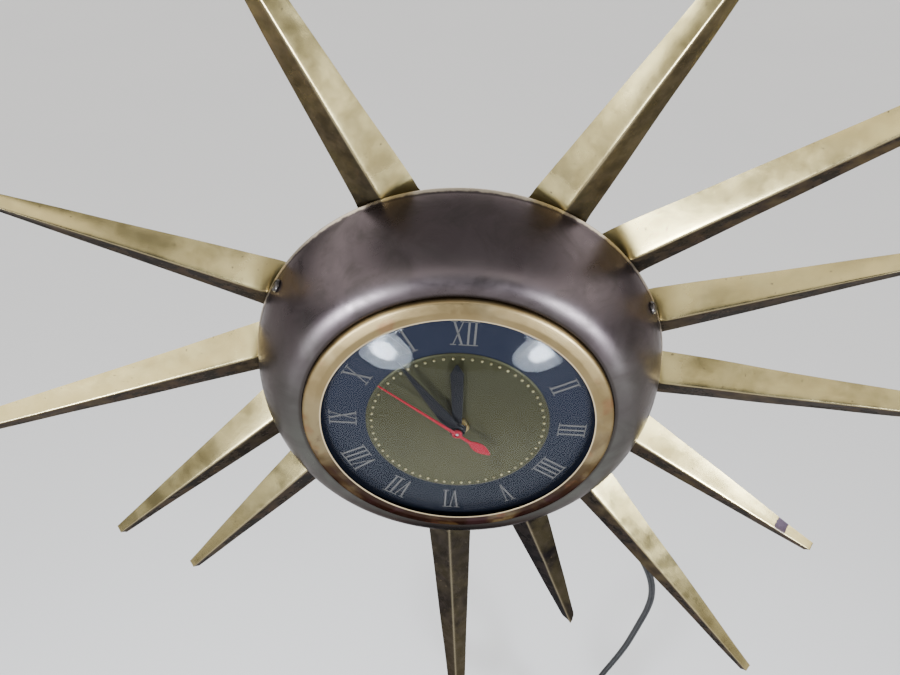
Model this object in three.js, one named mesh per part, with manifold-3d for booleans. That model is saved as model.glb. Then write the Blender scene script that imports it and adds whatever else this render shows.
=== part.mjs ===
// Electric sunburst wall clock: a spun dome case in the middle of thirteen folded brass rays.
// Millimetres. The wall is the plane Y = 0, the dial faces -Y, XII points along +Z and III along +X.
// The origin is the centre of the flat back of the rear pan.

import * as THREE from 'three';
import { mergeVertices } from 'three/addons/utils/BufferGeometryUtils.js';
import Module from 'manifold-3d';

const wasm = await Module();
wasm.setup();

// ---------------------------------------------------------------- driving dimensions

const CLEARANCE = 0.3; // gap between pieces that touch
const SHEET = 0.9; // thickness of the spun dome and of the ray ring
const VISIBLE_STEPS = 48; // facets around the large visible turned pieces
const HIDDEN_STEPS = 36; // facets around large hidden turned pieces
const SMALL_STEPS = 12; // facets around small turned pieces

// Levels along Y, from the wall towards the viewer.
const PAN_DEPTH = 10;
const PAN_SHEET = 1.2;
const TAB_BACK = -(PAN_DEPTH + PAN_SHEET + CLEARANCE);
const TAB_FRONT = TAB_BACK - 1.2;
const RING_BACK = TAB_FRONT - CLEARANCE;
const DOME_REAR = -22;
const CASE_SCREW_Y = -29.5;
const BACK_PLATE = [-42, -40.8];
const STATOR = [-40.5, -32.5];
const MOTOR_PINION = [-49.2, -46.2];
const SECONDS_WHEEL = [-48.2, -47.2];
const INTERMEDIATE_WHEEL = [-51.9, -50.9];
const CENTRE_WHEEL = [-54.3, -53.3];
const MOTION_WHEEL = [-56.9, -55.9];
const HOUR_WHEEL = [-58.9, -57.9];
const FRONT_PLATE = [-62, -60.8];
const DIAL_SEAT = [-62, -61.1];
const DIAL = [-63.1, -62.4];
const DIAL_CENTRE = [-63.9, -63.4];
const HAND_NUT = [-65.8, -64.2];
const HOUR_BLADE = [-67.4, -66.9];
const MINUTE_BLADE = [-68.9, -68.4];
const SECOND_BLADE = [-70.4, -69.9];
const TUBE_PROUD = 0.4; // how far each tube stands proud of its hand
const CRYSTAL_SEAT = [-64.8, -63.5];
const CRYSTAL_TOP = -81;

// Radii about the clock's axis.
const DOME_RADIUS = 105;
const DOME_FRONT_RADIUS = 76.4;
const BEZEL_RADIUS = 75.4;
const GLASS_RADIUS = 65.9;
const DIAL_RADIUS = 74.3;
const DIAL_CENTRE_RADIUS = 44.8;
const PAN_FACE_RADIUS = 80;
const PAN_FLANGE_RADIUS = 99;
const RING_RADIUS = 100.2;
const PLATE_RADIUS = 42.5;

// The rays stand at sixteen stations, long on the even ones and short on the odd ones. Three
// stations are empty. Each old ray has slipped round its station and been bent in its own way.
// Slip and lean are angles, and rake is how far a ray comes forward for each millimetre outwards.
const STATION_STEP = 22.5;
const RAYS = [
  { name: 'ray_east', station: 0, slip: -0.7, tip: 317, lean: 5.8, rake: 0.233 },
  { name: 'ray_east_north_east', station: 1, slip: -0.9, tip: 250, lean: 4.6, rake: 0.188 },
  { name: 'ray_north_east', station: 2, slip: -1.1, tip: 325, lean: -0.3, rake: 0.26 },
  { name: 'ray_north_north_east', station: 3, slip: -0.9, tip: 253, lean: 1, rake: 0.227 },
  { name: 'ray_north_north_west', station: 5, slip: 0.2, tip: 250, lean: 3.1, rake: 0.215 },
  { name: 'ray_west_north_west', station: 7, slip: -1.2, tip: 242, lean: -2, rake: 0.222 },
  { name: 'ray_west', station: 8, slip: -0.6, tip: 313, lean: 15.5, rake: 0.207 },
  { name: 'ray_west_south_west', station: 9, slip: -0.1, tip: 240, lean: 18.8, rake: 0.205 },
  { name: 'ray_south_west', station: 10, slip: -0.6, tip: 232, lean: 2.7, rake: 0.186 },
  { name: 'ray_south', station: 12, slip: -0.3, tip: 318, lean: 5.7, rake: 0.226 },
  { name: 'ray_south_south_east', station: 13, slip: -0.1, tip: 224, lean: 1.9, rake: 0.215 },
  { name: 'ray_south_east', station: 14, slip: -0.5, tip: 293, lean: -0.7, rake: 0.267 },
  { name: 'ray_east_south_east', station: 15, slip: -0.9, tip: 235, lean: -3.1, rake: 0.27 },
];
const RAY_ROOT_RADIUS = 105;
const RAY_ROOT_HALF_WIDTH = 14.8;
const RAY_TIP_HALF_WIDTH = 3.5;
const RAY_ROOT_HEIGHT = 9.9;
const RAY_TIP_HEIGHT = 3.1;
const RAY_ROOT_BACK = -12.6;
const RAY_SHEET = 0.9;
const RAY_CURL_START = -4.4; // the ridge rises from here over the length of the curl
const RAY_CURL = 14;
const RAY_START = -12; // the sheet is drawn from here and then trimmed round the ring
const RAY_ROOT_CIRCLE = RING_RADIUS + 0.5;

// Gears. Both stages between two shafts share one centre distance.
const INTERMEDIATE_DISTANCE = 21.6;
const MOTION_DISTANCE = 14.4;
const MOTOR_DISTANCE = 19.2;
const TEETH = {
  secondsPinion: 6,
  intermediateWheel: 48,
  intermediatePinion: 6,
  centreWheel: 45,
  cannonPinion: 8,
  motionWheel: 24,
  motionPinion: 8,
  hourWheel: 32,
  motorPinion: 12,
  secondsWheel: 36,
  setPinion: 8,
};

const degrees = (angle) => (angle * Math.PI) / 180;
const polar = (distance, angle) => ({
  x: distance * Math.cos(degrees(angle)),
  z: distance * Math.sin(degrees(angle)),
});

const CENTRE = { x: 0, z: 0 };
const INTERMEDIATE_ANGLE = 200;
const MOTION_ANGLE = 50;
const MOTOR_ANGLE = -90;
const INTERMEDIATE_AXIS = polar(INTERMEDIATE_DISTANCE, INTERMEDIATE_ANGLE);
const MOTION_AXIS = polar(MOTION_DISTANCE, MOTION_ANGLE);
const MOTOR_AXIS = polar(MOTOR_DISTANCE, MOTOR_ANGLE);
const SET_AXIS = polar(2 * MOTION_DISTANCE, MOTION_ANGLE);

// The hands stand at about six minutes to twelve. Angles are clockwise from XII.
const HOUR_HAND_ANGLE = -3.5;
const MINUTE_HAND_ANGLE = -35.2;
const SECOND_HAND_ANGLE = -53;

const CASE_SCREW_ANGLES = [30, 150, 270];
const CASE_SCREW_HOLE = 1.9;
const CASE_SCREW_SEAT = 104.2;
const CASE_SCREW_TILT = 13;
const PILLARS = [
  { x: -18.5, z: 32 },
  { x: 36.4, z: 6.4 },
  { x: 9.6, z: -35.7 },
];
const MOTOR_SCREWS = [
  { x: -20, z: -33 },
  { x: 20, z: -33 },
];

const KEYHOLE_HEIGHT = 50;
const KEYHOLE_RADIUS = 5;
const KEYHOLE_SLOT = { halfWidth: 2.5, top: 63 };
const KNOB_POCKET = { radius: 11, depth: 9.6, sheet: 1.1 };

// The cord leaves the pan at the lower right, runs behind a ray and hangs down the wall.
const CORD_EXIT_ANGLE = -50;
const CORD_LEVEL = -5;
const GROMMET_START = 84.4;
const GROMMET_END = 106;
const CORD_WIDTH = 5;
const CORD_THICKNESS = 2.7;
const WALL_LEVEL = -1.6; // the middle of a cord that lies on the wall
const CORD_ROUTE = [
  [74.5, -4.6, -89],
  [82, -3.6, -98.6],
  [93, -2.4, -113],
  [105, WALL_LEVEL, -129.5],
  [117, WALL_LEVEL, -147],
  [128, WALL_LEVEL, -164],
  [138, WALL_LEVEL, -180.5],
  [146.5, WALL_LEVEL, -196.5],
  [152.8, WALL_LEVEL, -212.5],
  [156.2, WALL_LEVEL, -229.5],
  [156.4, WALL_LEVEL, -246],
  [154.9, WALL_LEVEL, -262],
  [153, WALL_LEVEL, -279],
  [150.8, WALL_LEVEL, -296],
  [147.4, WALL_LEVEL, -313],
  [143.8, WALL_LEVEL, -328],
  [140.4, WALL_LEVEL, -342],
  [137.3, WALL_LEVEL - 0.6, -356],
  [135.2, WALL_LEVEL - 1.6, -367],
  [135, WALL_LEVEL - 2.2, -374.6],
];
const COIL = { x: 108, y: -9.2, z: -400, radius: 27, halfSection: 8 };
const PLUG = { x: 135, y: -10, top: -427.3 };

// ---------------------------------------------------------------- making closed geometry

function signedVolume(geometry) {
  const position = geometry.attributes.position;
  const index = geometry.index;
  const count = index ? index.count : position.count;
  const corner = [new THREE.Vector3(), new THREE.Vector3(), new THREE.Vector3()];
  let volume = 0;
  for (let i = 0; i < count; i += 3) {
    for (let k = 0; k < 3; k += 1) {
      corner[k].fromBufferAttribute(position, index ? index.getX(i + k) : i + k);
    }
    volume += corner[0].dot(corner[1].clone().cross(corner[2])) / 6;
  }
  return volume;
}

// Leaves only merged positions, with the faces pointing out.
function weld(geometry) {
  let plain = geometry.clone();
  plain.deleteAttribute('normal');
  plain.deleteAttribute('uv');
  plain = mergeVertices(plain, 1e-4);
  const kept = [];
  for (let i = 0; i < plain.index.count; i += 3) {
    const [a, b, c] = [0, 1, 2].map((k) => plain.index.getX(i + k));
    if (a !== b && b !== c && c !== a) {
      kept.push(a, b, c);
    }
  }
  plain.setIndex(kept);
  if (signedVolume(plain) < 0) {
    for (let i = 0; i < kept.length; i += 3) {
      [kept[i + 1], kept[i + 2]] = [kept[i + 2], kept[i + 1]];
    }
    plain.setIndex(kept);
  }
  return plain;
}

function toSolid(geometry) {
  const plain = weld(geometry);
  return new wasm.Manifold(
    new wasm.Mesh({
      numProp: 3,
      vertProperties: new Float32Array(plain.attributes.position.array),
      triVerts: new Uint32Array(plain.index.array),
    }),
  );
}

function toGeometry(solid) {
  const mesh = solid.getMesh();
  const geometry = new THREE.BufferGeometry();
  geometry.setAttribute('position', new THREE.BufferAttribute(new Float32Array(mesh.vertProperties), 3));
  geometry.setIndex(Array.from(mesh.triVerts));
  return geometry;
}

function cut(geometry, ...tools) {
  const result = tools.reduce((rest, tool) => rest.subtract(toSolid(tool)), toSolid(geometry));
  return toGeometry(result);
}

function join(geometry, ...others) {
  const result = others.reduce((sum, other) => sum.add(toSolid(other)), toSolid(geometry));
  return toGeometry(result);
}

// A turned piece about the Y axis. The profile is a list of [radius, y].
function turn(profile, steps) {
  const onAxis = profile[0][0] === 0 && profile[profile.length - 1][0] === 0;
  const closed = onAxis ? profile : [...profile, profile[0]];
  const points = closed.map(([radius, y]) => new THREE.Vector2(radius, y));
  return weld(new THREE.LatheGeometry(points, steps));
}

// A round bar along Y, with an optional bore.
function bar(radius, [front, back], bore = 0, steps = SMALL_STEPS) {
  return turn([[bore, front], [radius, front], [radius, back], [bore, back]], steps);
}

// A flat piece whose outline is drawn as the viewer sees it, x to the right and y up.
function plate(shape, [front, back], curveSegments = 6) {
  const settings = { depth: back - front, bevelEnabled: false, curveSegments };
  const geometry = new THREE.ExtrudeGeometry(shape, settings);
  return weld(geometry.rotateX(Math.PI / 2).translate(0, back, 0));
}

function circle(radius, x = 0, y = 0) {
  const shape = new THREE.Path();
  shape.absarc(x, y, radius, 0, 2 * Math.PI, true);
  return shape;
}

function outline(points) {
  return new THREE.Shape(points.map(([x, y]) => new THREE.Vector2(x, y)));
}

function box([x0, y0, z0], [x1, y1, z1]) {
  const geometry = new THREE.BoxGeometry(x1 - x0, y1 - y0, z1 - z0);
  return geometry.translate((x0 + x1) / 2, (y0 + y1) / 2, (z0 + z1) / 2);
}

// Skins a row of sections, each a ring of the same number of points, and closes both ends.
function loft(sections) {
  const size = sections[0].length;
  const positions = sections.flat().flatMap((point) => [point.x, point.y, point.z]);
  const index = [];
  for (let s = 0; s + 1 < sections.length; s += 1) {
    for (let i = 0; i < size; i += 1) {
      const a = s * size + i;
      const b = s * size + ((i + 1) % size);
      index.push(a, b, b + size, a, b + size, a + size);
    }
  }
  const last = (sections.length - 1) * size;
  for (let i = 1; i + 1 < size; i += 1) {
    index.push(0, i + 1, i, last, last + i, last + i + 1);
  }
  const geometry = new THREE.BufferGeometry();
  geometry.setAttribute('position', new THREE.BufferAttribute(new Float32Array(positions), 3));
  geometry.setIndex(index);
  return weld(geometry);
}

// Turns a piece that points at XII clockwise, as the viewer sees it.
function pointTo(geometry, angle) {
  return geometry.rotateY(degrees(angle));
}

function at(geometry, axis) {
  return geometry.translate(axis.x, 0, axis.z);
}

// ---------------------------------------------------------------- gears

const moduleFor = (distance, first, second) => (2 * distance) / (first + second);

// A gear with slender straight-sided teeth and one tooth centred on the angle given.
function gear(teeth, module, facing, level, bore) {
  const radius = (teeth * module) / 2;
  const pitch = (2 * Math.PI) / teeth;
  const corners = [
    [radius - 1.1 * module, -0.26],
    [radius + 0.75 * module, -0.1],
    [radius + 0.75 * module, 0.1],
    [radius - 1.1 * module, 0.26],
  ];
  const points = [];
  for (let i = 0; i < teeth; i += 1) {
    for (const [r, share] of corners) {
      const angle = degrees(facing) + (i + share) * pitch;
      points.push([r * Math.cos(angle), r * Math.sin(angle)]);
    }
  }
  const shape = outline(points);
  if (bore > 0) {
    shape.holes.push(circle(bore));
  }
  return plate(shape, level);
}

// Half a tooth pitch, in degrees, which turns a tooth away and a gap towards its partner.
const halfPitch = (teeth) => 180 / teeth;

// ---------------------------------------------------------------- case

function domeCurve(inset) {
  const rise = DOME_REAR - (DIAL_SEAT[0] - 1.4);
  const points = [];
  const count = 7;
  for (let i = 0; i <= count; i += 1) {
    const angle = (i / count) * (Math.PI / 2);
    const radius = DOME_FRONT_RADIUS + (DOME_RADIUS - DOME_FRONT_RADIUS) * Math.cos(angle) ** 1.05;
    const y = DOME_REAR - rise * Math.sin(angle) ** 1.3;
    points.push([radius - inset * Math.cos(angle) - 0.4 * inset, y + inset * Math.sin(angle)]);
  }
  return points;
}

// A case screw stands square on the dome. It is drawn along +X with its seat at the origin.
function onDome(geometry, angle) {
  geometry.rotateZ(-degrees(CASE_SCREW_TILT)).translate(CASE_SCREW_SEAT, CASE_SCREW_Y, 0);
  return geometry.rotateY(-degrees(angle));
}

function screwHole(angle, radius) {
  const hole = new THREE.CylinderGeometry(radius, radius, 14, 12).rotateZ(Math.PI / 2);
  return onDome(hole.translate(-3, 0, 0), angle);
}

function domeCase() {
  const outer = domeCurve(0);
  const inner = domeCurve(SHEET).slice(1, -1).reverse();
  const bead = [
    [DOME_RADIUS - 1.4, DOME_REAR + 0.5],
    [DOME_RADIUS + 0.3, DOME_REAR + 1],
    [DOME_RADIUS + 0.9, DOME_REAR - 0.1],
  ];
  const collar = DOME_FRONT_RADIUS - 0.7;
  const seat = [
    [collar, outer[outer.length - 1][1]],
    [collar, DIAL_SEAT[0]],
    [DIAL_RADIUS - 7, DIAL_SEAT[0]],
    [DIAL_RADIUS - 7, DIAL_SEAT[1]],
    [collar - 0.2, DIAL_SEAT[1]],
  ];
  const shell = turn([...bead, ...outer.slice(1), ...seat, ...inner], VISIBLE_STEPS);
  return cut(shell, ...CASE_SCREW_ANGLES.map((angle) => screwHole(angle, CASE_SCREW_HOLE)));
}

function bezel() {
  const skirt = BEZEL_RADIUS - 0.7;
  return turn(
    [
      [GLASS_RADIUS, -67.1],
      [74.2, -66],
      [75.1, -65.4],
      [BEZEL_RADIUS, -64.5],
      [BEZEL_RADIUS, DIAL_SEAT[0] - CLEARANCE],
      [skirt, DIAL_SEAT[0] - CLEARANCE],
      [skirt, -64.7],
      [73.6, -65.3],
      [GLASS_RADIUS + 0.4, -66.4],
    ],
    VISIBLE_STEPS,
  );
}

// One face of the domed glass: a spherical cap of the given rim radius and height.
function capCurve(rimRadius, rimY, topY, count) {
  const height = rimY - topY;
  const sphere = (rimRadius ** 2 + height ** 2) / (2 * height);
  const spread = Math.asin(rimRadius / sphere);
  const points = [];
  for (let i = 0; i <= count; i += 1) {
    const angle = spread * (1 - i / count);
    points.push([i === count ? 0 : sphere * Math.sin(angle), topY + sphere * (1 - Math.cos(angle))]);
  }
  return points;
}

function crystal() {
  const outer = capCurve(GLASS_RADIUS + 0.3, CRYSTAL_SEAT[0], CRYSTAL_TOP, 5).reverse();
  const inner = capCurve(GLASS_RADIUS - 1.8, CRYSTAL_SEAT[1], CRYSTAL_TOP + 1.6, 5);
  const flange = [[DIAL_RADIUS, CRYSTAL_SEAT[0]], [DIAL_RADIUS, CRYSTAL_SEAT[1]]];
  return turn([...outer, ...flange, ...inner], HIDDEN_STEPS);
}

function keyhole([front, back]) {
  const round = bar(KEYHOLE_RADIUS, [front - 1, back + 1]).translate(0, 0, KEYHOLE_HEIGHT);
  const { halfWidth, top } = KEYHOLE_SLOT;
  const slot = box([-halfWidth, front - 1, KEYHOLE_HEIGHT], [halfWidth, back + 1, top - halfWidth]);
  const end = bar(halfWidth, [front - 1, back + 1]).translate(0, 0, top - halfWidth);
  return [round, slot, end];
}

function rearPan() {
  const shell = turn(
    [
      [0, 0],
      [PAN_FACE_RADIUS, 0],
      [PAN_FACE_RADIUS + 4, -PAN_DEPTH],
      [PAN_FLANGE_RADIUS, -PAN_DEPTH],
      [PAN_FLANGE_RADIUS, -PAN_DEPTH - PAN_SHEET],
      [PAN_FACE_RADIUS + 3, -PAN_DEPTH - PAN_SHEET],
      [PAN_FACE_RADIUS - 0.9, -PAN_SHEET],
      [0, -PAN_SHEET],
    ],
    HIDDEN_STEPS,
  );
  const { radius, depth, sheet } = KNOB_POCKET;
  const pocket = at(bar(radius + sheet, [-depth - sheet, -0.3], 0, 24), SET_AXIS);
  const well = at(bar(radius, [-depth, 1], 0, 24), SET_AXIS);
  const shaftHole = at(bar(2, [-depth - 4, 1]), SET_AXIS);
  const cordHole = alongCordExit(new THREE.CylinderGeometry(3.4, 3.4, 12, 12), 83);
  return cut(join(shell, pocket), well, shaftHole, cordHole, ...keyhole([-PAN_SHEET, 0]));
}

function hangerPlate() {
  const level = [-PAN_SHEET - CLEARANCE - 1.6, -PAN_SHEET - CLEARANCE];
  const strip = box([-13, level[0], KEYHOLE_HEIGHT - 13], [13, level[1], KEYHOLE_HEIGHT + 23]);
  return cut(strip, ...keyhole(level));
}

function rayRing() {
  const front = -34;
  const ring = turn(
    [
      [82, RING_BACK],
      [RING_RADIUS, RING_BACK],
      [RING_RADIUS, front],
      [RING_RADIUS - SHEET - 0.3, front],
      [RING_RADIUS - SHEET - 0.3, RING_BACK - 1.2],
      [82, RING_BACK - 1.2],
    ],
    HIDDEN_STEPS,
  );
  return cut(ring, ...CASE_SCREW_ANGLES.map((angle) => screwHole(angle, 1.7)));
}

// A short pan-head screw, its head outside the dome, pointing at the clock's axis.
function caseScrew(angle) {
  const profile = [[0, -6.5], [1.4, -6.5], [1.4, 0], [3.3, 0], [2.9, 1.4], [0, 1.9]];
  const screw = turn(profile, SMALL_STEPS).rotateZ(-Math.PI / 2);
  const slot = box([1.1, -0.4, -4], [3, 0.4, 4]);
  return onDome(cut(screw, slot), angle);
}

// ---------------------------------------------------------------- rays

// A ray is a sheet folded along a ridge. It is drawn lying along +X, then leant and turned.
function rayShape(tip, rake, inset) {
  const length = tip - RAY_ROOT_RADIUS;
  const stops = [0, 0.2, 0.5, 1].map((share) => RAY_CURL_START + inset + share * RAY_CURL);
  const sections = [];
  for (const along of [RAY_START + inset, ...stops, length - inset]) {
    const share = along / length;
    const curl = THREE.MathUtils.clamp((along - stops[0]) / RAY_CURL, 0, 1);
    const bulge = Math.sqrt(1 - (1 - curl) ** 2);
    const full = THREE.MathUtils.lerp(RAY_ROOT_HEIGHT, RAY_TIP_HEIGHT, share);
    const height = Math.max(0.12, bulge) * full - inset;
    const half = THREE.MathUtils.lerp(RAY_ROOT_HALF_WIDTH, RAY_TIP_HALF_WIDTH, share) - 1.3 * inset;
    const back = RAY_ROOT_BACK - rake * along;
    const open = inset > 0 ? 2 : 0;
    const section = [[-half, back + open], [-half, back], [0, back - Math.max(0.05, height)]];
    section.push([half, back], [half, back + open + 0.01]);
    sections.push(section.map(([across, y]) => new THREE.Vector3(along, y, across)));
  }
  return loft(sections);
}

function ray({ station, slip, tip, lean, rake }) {
  const atRoot = (shape) => shape.rotateY(-degrees(lean)).translate(RAY_ROOT_RADIUS, 0, 0);
  const trimmed = (inset) => {
    const core = bar(RAY_ROOT_CIRCLE + inset, [-40, 0], 0, HIDDEN_STEPS);
    return cut(atRoot(rayShape(tip, rake, inset)), core);
  };
  const tab = atRoot(box([-19, TAB_FRONT, -6], [-1.5, TAB_BACK, 6]));
  const whole = join(cut(trimmed(0), trimmed(RAY_SHEET)), tab);
  return whole.rotateY(-degrees(station * STATION_STEP + slip));
}

// ---------------------------------------------------------------- dial and hands

function dialCentre() {
  const disc = [
    [4.4, DIAL_CENTRE[0]],
    [DIAL_CENTRE_RADIUS - 0.5, DIAL_CENTRE[0]],
    [DIAL_CENTRE_RADIUS, DIAL_CENTRE[1]],
    [4.4, DIAL_CENTRE[1]],
  ];
  return turn(disc, HIDDEN_STEPS);
}

function handNut() {
  const corners = [0, 60, 120, 180, 240, 300].map((angle) => polar(5.9, angle));
  const hexagon = outline(corners.map(({ x, z }) => [x, z]));
  hexagon.holes.push(circle(4.3));
  return plate(hexagon, HAND_NUT);
}

function bushing() {
  const end = HAND_NUT[0] - 0.6;
  const profile = [[3.1, end], [4, end], [4, -60.5], [6.5, -60.5], [6.5, -59.3], [3.1, -59.3]];
  return turn(profile, SMALL_STEPS);
}

// A hand is a flat blade on a round boss, bored for the tube that it is pressed on.
function hand(blade, level, bossRadius, bossLevel, bore) {
  const whole = join(plate(outline(blade), level), bar(bossRadius, bossLevel));
  return cut(whole, bar(bore, [bossLevel[0] - 1, bossLevel[1] + 1]));
}

function hourHand() {
  const blade = [[-2, 0], [2, 0], [3.1, 35.5], [0.5, 41], [-0.5, 41], [-3.1, 35.5]];
  const level = [HOUR_BLADE[0] - 0.2, HOUR_BLADE[1] + 0.1];
  return pointTo(hand(blade, HOUR_BLADE, 4.4, level, 3), HOUR_HAND_ANGLE);
}

function minuteHand() {
  const blade = [[-2.2, 0], [2.2, 0], [3.3, 10], [0.3, 51], [-0.3, 51], [-3.3, 10]];
  const level = [MINUTE_BLADE[0] - 0.2, MINUTE_BLADE[1] + 0.2];
  return pointTo(hand(blade, MINUTE_BLADE, 3.8, level, 1.9), MINUTE_HAND_ANGLE);
}

function secondHand() {
  const blade = [[0.8, -8], [2.9, -13.5], [2.1, -17.5], [0.4, -21], [-0.4, -21], [-2.1, -17.5]];
  blade.push([-2.9, -13.5], [-0.8, -8], [-0.8, 4], [-0.35, 47.5], [0.35, 47.5], [0.8, 4]);
  const level = [SECOND_BLADE[0] - 0.6, SECOND_BLADE[1] + 0.2];
  return pointTo(hand(blade, SECOND_BLADE, 2.5, level, 0.9), SECOND_HAND_ANGLE);
}

// ---------------------------------------------------------------- movement

function movementPlate(level, holes) {
  const rim = [];
  for (let i = 0; i < HIDDEN_STEPS; i += 1) {
    const { x, z } = polar(PLATE_RADIUS, (i * 360) / HIDDEN_STEPS);
    rim.push([x, z]);
  }
  const shape = outline(rim);
  for (const { x, z, radius } of holes) {
    shape.holes.push(circle(radius, x, z));
  }
  return plate(shape, level, 5);
}

const hole = (axis, radius) => ({ ...axis, radius });

function frontPlate() {
  const pivots = [hole(CENTRE, 4.3), hole(INTERMEDIATE_AXIS, 1.1), hole(MOTION_AXIS, 1.1)];
  pivots.push(hole(SET_AXIS, 1.4));
  const posts = PILLARS.map((place) => hole(place, 1.6));
  return movementPlate(FRONT_PLATE, [...pivots, ...posts]);
}

function backPlate() {
  const pivots = [hole(CENTRE, 1.1), hole(INTERMEDIATE_AXIS, 1.1), hole(MOTOR_AXIS, 1.6)];
  pivots.push(hole(SET_AXIS, 1.4));
  const posts = PILLARS.map((place) => hole(place, 1.6));
  const screws = MOTOR_SCREWS.map((place) => hole(place, 1.7));
  return movementPlate(BACK_PLATE, [...pivots, ...posts, ...screws]);
}

function pillar(place) {
  const gap = CLEARANCE;
  const shoulders = [FRONT_PLATE[1] + gap, BACK_PLATE[0] - gap];
  const ends = [FRONT_PLATE[0] + 0.1, BACK_PLATE[1] - 0.1];
  const profile = [
    [0, ends[0]],
    [1.3, ends[0]],
    [1.3, shoulders[0]],
    [2.6, shoulders[0]],
    [2.6, shoulders[1]],
    [1.3, shoulders[1]],
    [1.3, ends[1]],
    [0, ends[1]],
  ];
  return at(turn(profile, SMALL_STEPS), place);
}

const INTERMEDIATE_MODULE = moduleFor(INTERMEDIATE_DISTANCE, TEETH.secondsPinion, TEETH.intermediateWheel);
const CENTRE_MODULE = moduleFor(INTERMEDIATE_DISTANCE, TEETH.intermediatePinion, TEETH.centreWheel);
const CANNON_MODULE = moduleFor(MOTION_DISTANCE, TEETH.cannonPinion, TEETH.motionWheel);
const HOUR_MODULE = moduleFor(MOTION_DISTANCE, TEETH.motionPinion, TEETH.hourWheel);
const MOTOR_MODULE = moduleFor(MOTOR_DISTANCE, TEETH.motorPinion, TEETH.secondsWheel);

const widened = ([front, back], extra) => [front - extra, back + extra];

// Every wheel shows a tooth to its partner's shaft and every pinion shows a gap.
function secondsArbor() {
  const facing = INTERMEDIATE_ANGLE + halfPitch(TEETH.secondsPinion);
  const level = widened(INTERMEDIATE_WHEEL, 0.5);
  const pinion = gear(TEETH.secondsPinion, INTERMEDIATE_MODULE, facing, level, 0);
  return join(bar(0.75, [SECOND_BLADE[0] - TUBE_PROUD, BACK_PLATE[1] - 0.1]), pinion);
}

function secondsWheel() {
  return gear(TEETH.secondsWheel, MOTOR_MODULE, MOTOR_ANGLE, SECONDS_WHEEL, 0.85);
}

function intermediateArbor() {
  const facing = INTERMEDIATE_ANGLE + 180 + halfPitch(TEETH.intermediatePinion);
  const level = widened(CENTRE_WHEEL, 0.5);
  const pinion = gear(TEETH.intermediatePinion, CENTRE_MODULE, facing, level, 0);
  const shaft = bar(0.9, [FRONT_PLATE[0] + 0.2, BACK_PLATE[1] - 0.2]);
  return at(join(shaft, pinion), INTERMEDIATE_AXIS);
}

function intermediateWheel() {
  const facing = INTERMEDIATE_ANGLE + 180;
  const wheel = gear(TEETH.intermediateWheel, INTERMEDIATE_MODULE, facing, INTERMEDIATE_WHEEL, 1);
  return at(wheel, INTERMEDIATE_AXIS);
}

// The cannon pinion, the tube that carries the minute hand and the collar behind the centre
// wheel are one turned piece.
function minuteTube() {
  const facing = MOTION_ANGLE + halfPitch(TEETH.cannonPinion);
  const level = widened(MOTION_WHEEL, 0.4);
  const pinion = gear(TEETH.cannonPinion, CANNON_MODULE, facing, level, 0);
  const collar = [CENTRE_WHEEL[1] + CLEARANCE, CENTRE_WHEEL[1] + 2 * CLEARANCE];
  const tube = bar(1.7, [MINUTE_BLADE[0] - TUBE_PROUD, collar[1]]);
  const bore = bar(0.95, widened([MINUTE_BLADE[0], collar[1]], 2));
  return cut(join(tube, pinion, bar(2.4, collar)), bore);
}

function centreWheel() {
  return gear(TEETH.centreWheel, CENTRE_MODULE, INTERMEDIATE_ANGLE, CENTRE_WHEEL, 1.85);
}

// A dished washer between the cannon pinion and the centre wheel. Its push is the clutch that
// lets the hands be set without turning the motor.
function clutchSpring() {
  const [front, back] = [-55.2, CENTRE_WHEEL[0] - CLEARANCE];
  const sheet = 0.2;
  return turn([[1.95, front], [2.7, front], [4.6, back - sheet], [4.6, back], [2.6, front + sheet]], 18);
}

function motionPinion() {
  const facing = MOTION_ANGLE + 180 + halfPitch(TEETH.motionPinion);
  const level = [HOUR_WHEEL[0] - 0.2, HOUR_WHEEL[1] + 0.4];
  const pinion = gear(TEETH.motionPinion, HOUR_MODULE, facing, level, 0);
  const stud = bar(0.9, [FRONT_PLATE[0] + 0.2, MOTION_WHEEL[1] + 0.4]);
  return at(join(stud, pinion), MOTION_AXIS);
}

function motionWheel() {
  const wheel = gear(TEETH.motionWheel, CANNON_MODULE, MOTION_ANGLE, MOTION_WHEEL, 1);
  return at(wheel, MOTION_AXIS);
}

function hourWheel() {
  const wheel = gear(TEETH.hourWheel, HOUR_MODULE, MOTION_ANGLE, HOUR_WHEEL, 0);
  const tube = bar(2.8, [HOUR_BLADE[0] - TUBE_PROUD, HOUR_WHEEL[1]]);
  return cut(join(wheel, tube), bar(2, widened([HOUR_BLADE[0], HOUR_WHEEL[1]], 2)));
}

function setShaft() {
  const facing = MOTION_ANGLE + 180 + halfPitch(TEETH.setPinion);
  const pinion = gear(TEETH.setPinion, CANNON_MODULE, facing, widened(MOTION_WHEEL, 0.4), 0);
  return at(join(bar(1.2, [FRONT_PLATE[0] + 0.2, -3.4]), pinion), SET_AXIS);
}

function setKnob() {
  const shape = new THREE.Shape();
  const ridges = 18;
  for (let i = 0; i < ridges * 2; i += 1) {
    const radius = i % 2 === 0 ? 7.2 : 6.7;
    const angle = (i * Math.PI) / ridges;
    const move = i === 0 ? 'moveTo' : 'lineTo';
    shape[move](radius * Math.cos(angle), radius * Math.sin(angle));
  }
  const rim = plate(shape, [-8.8, -1.6]);
  return at(cut(rim, bar(1.4, [-10, -3])), SET_AXIS);
}

function motorPinion() {
  const facing = MOTOR_ANGLE + 180 + halfPitch(TEETH.motorPinion);
  const pinion = gear(TEETH.motorPinion, MOTOR_MODULE, facing, MOTOR_PINION, 0);
  return at(join(bar(1.3, [MOTOR_PINION[0], BACK_PLATE[1] - 0.4]), pinion), MOTOR_AXIS);
}

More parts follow.
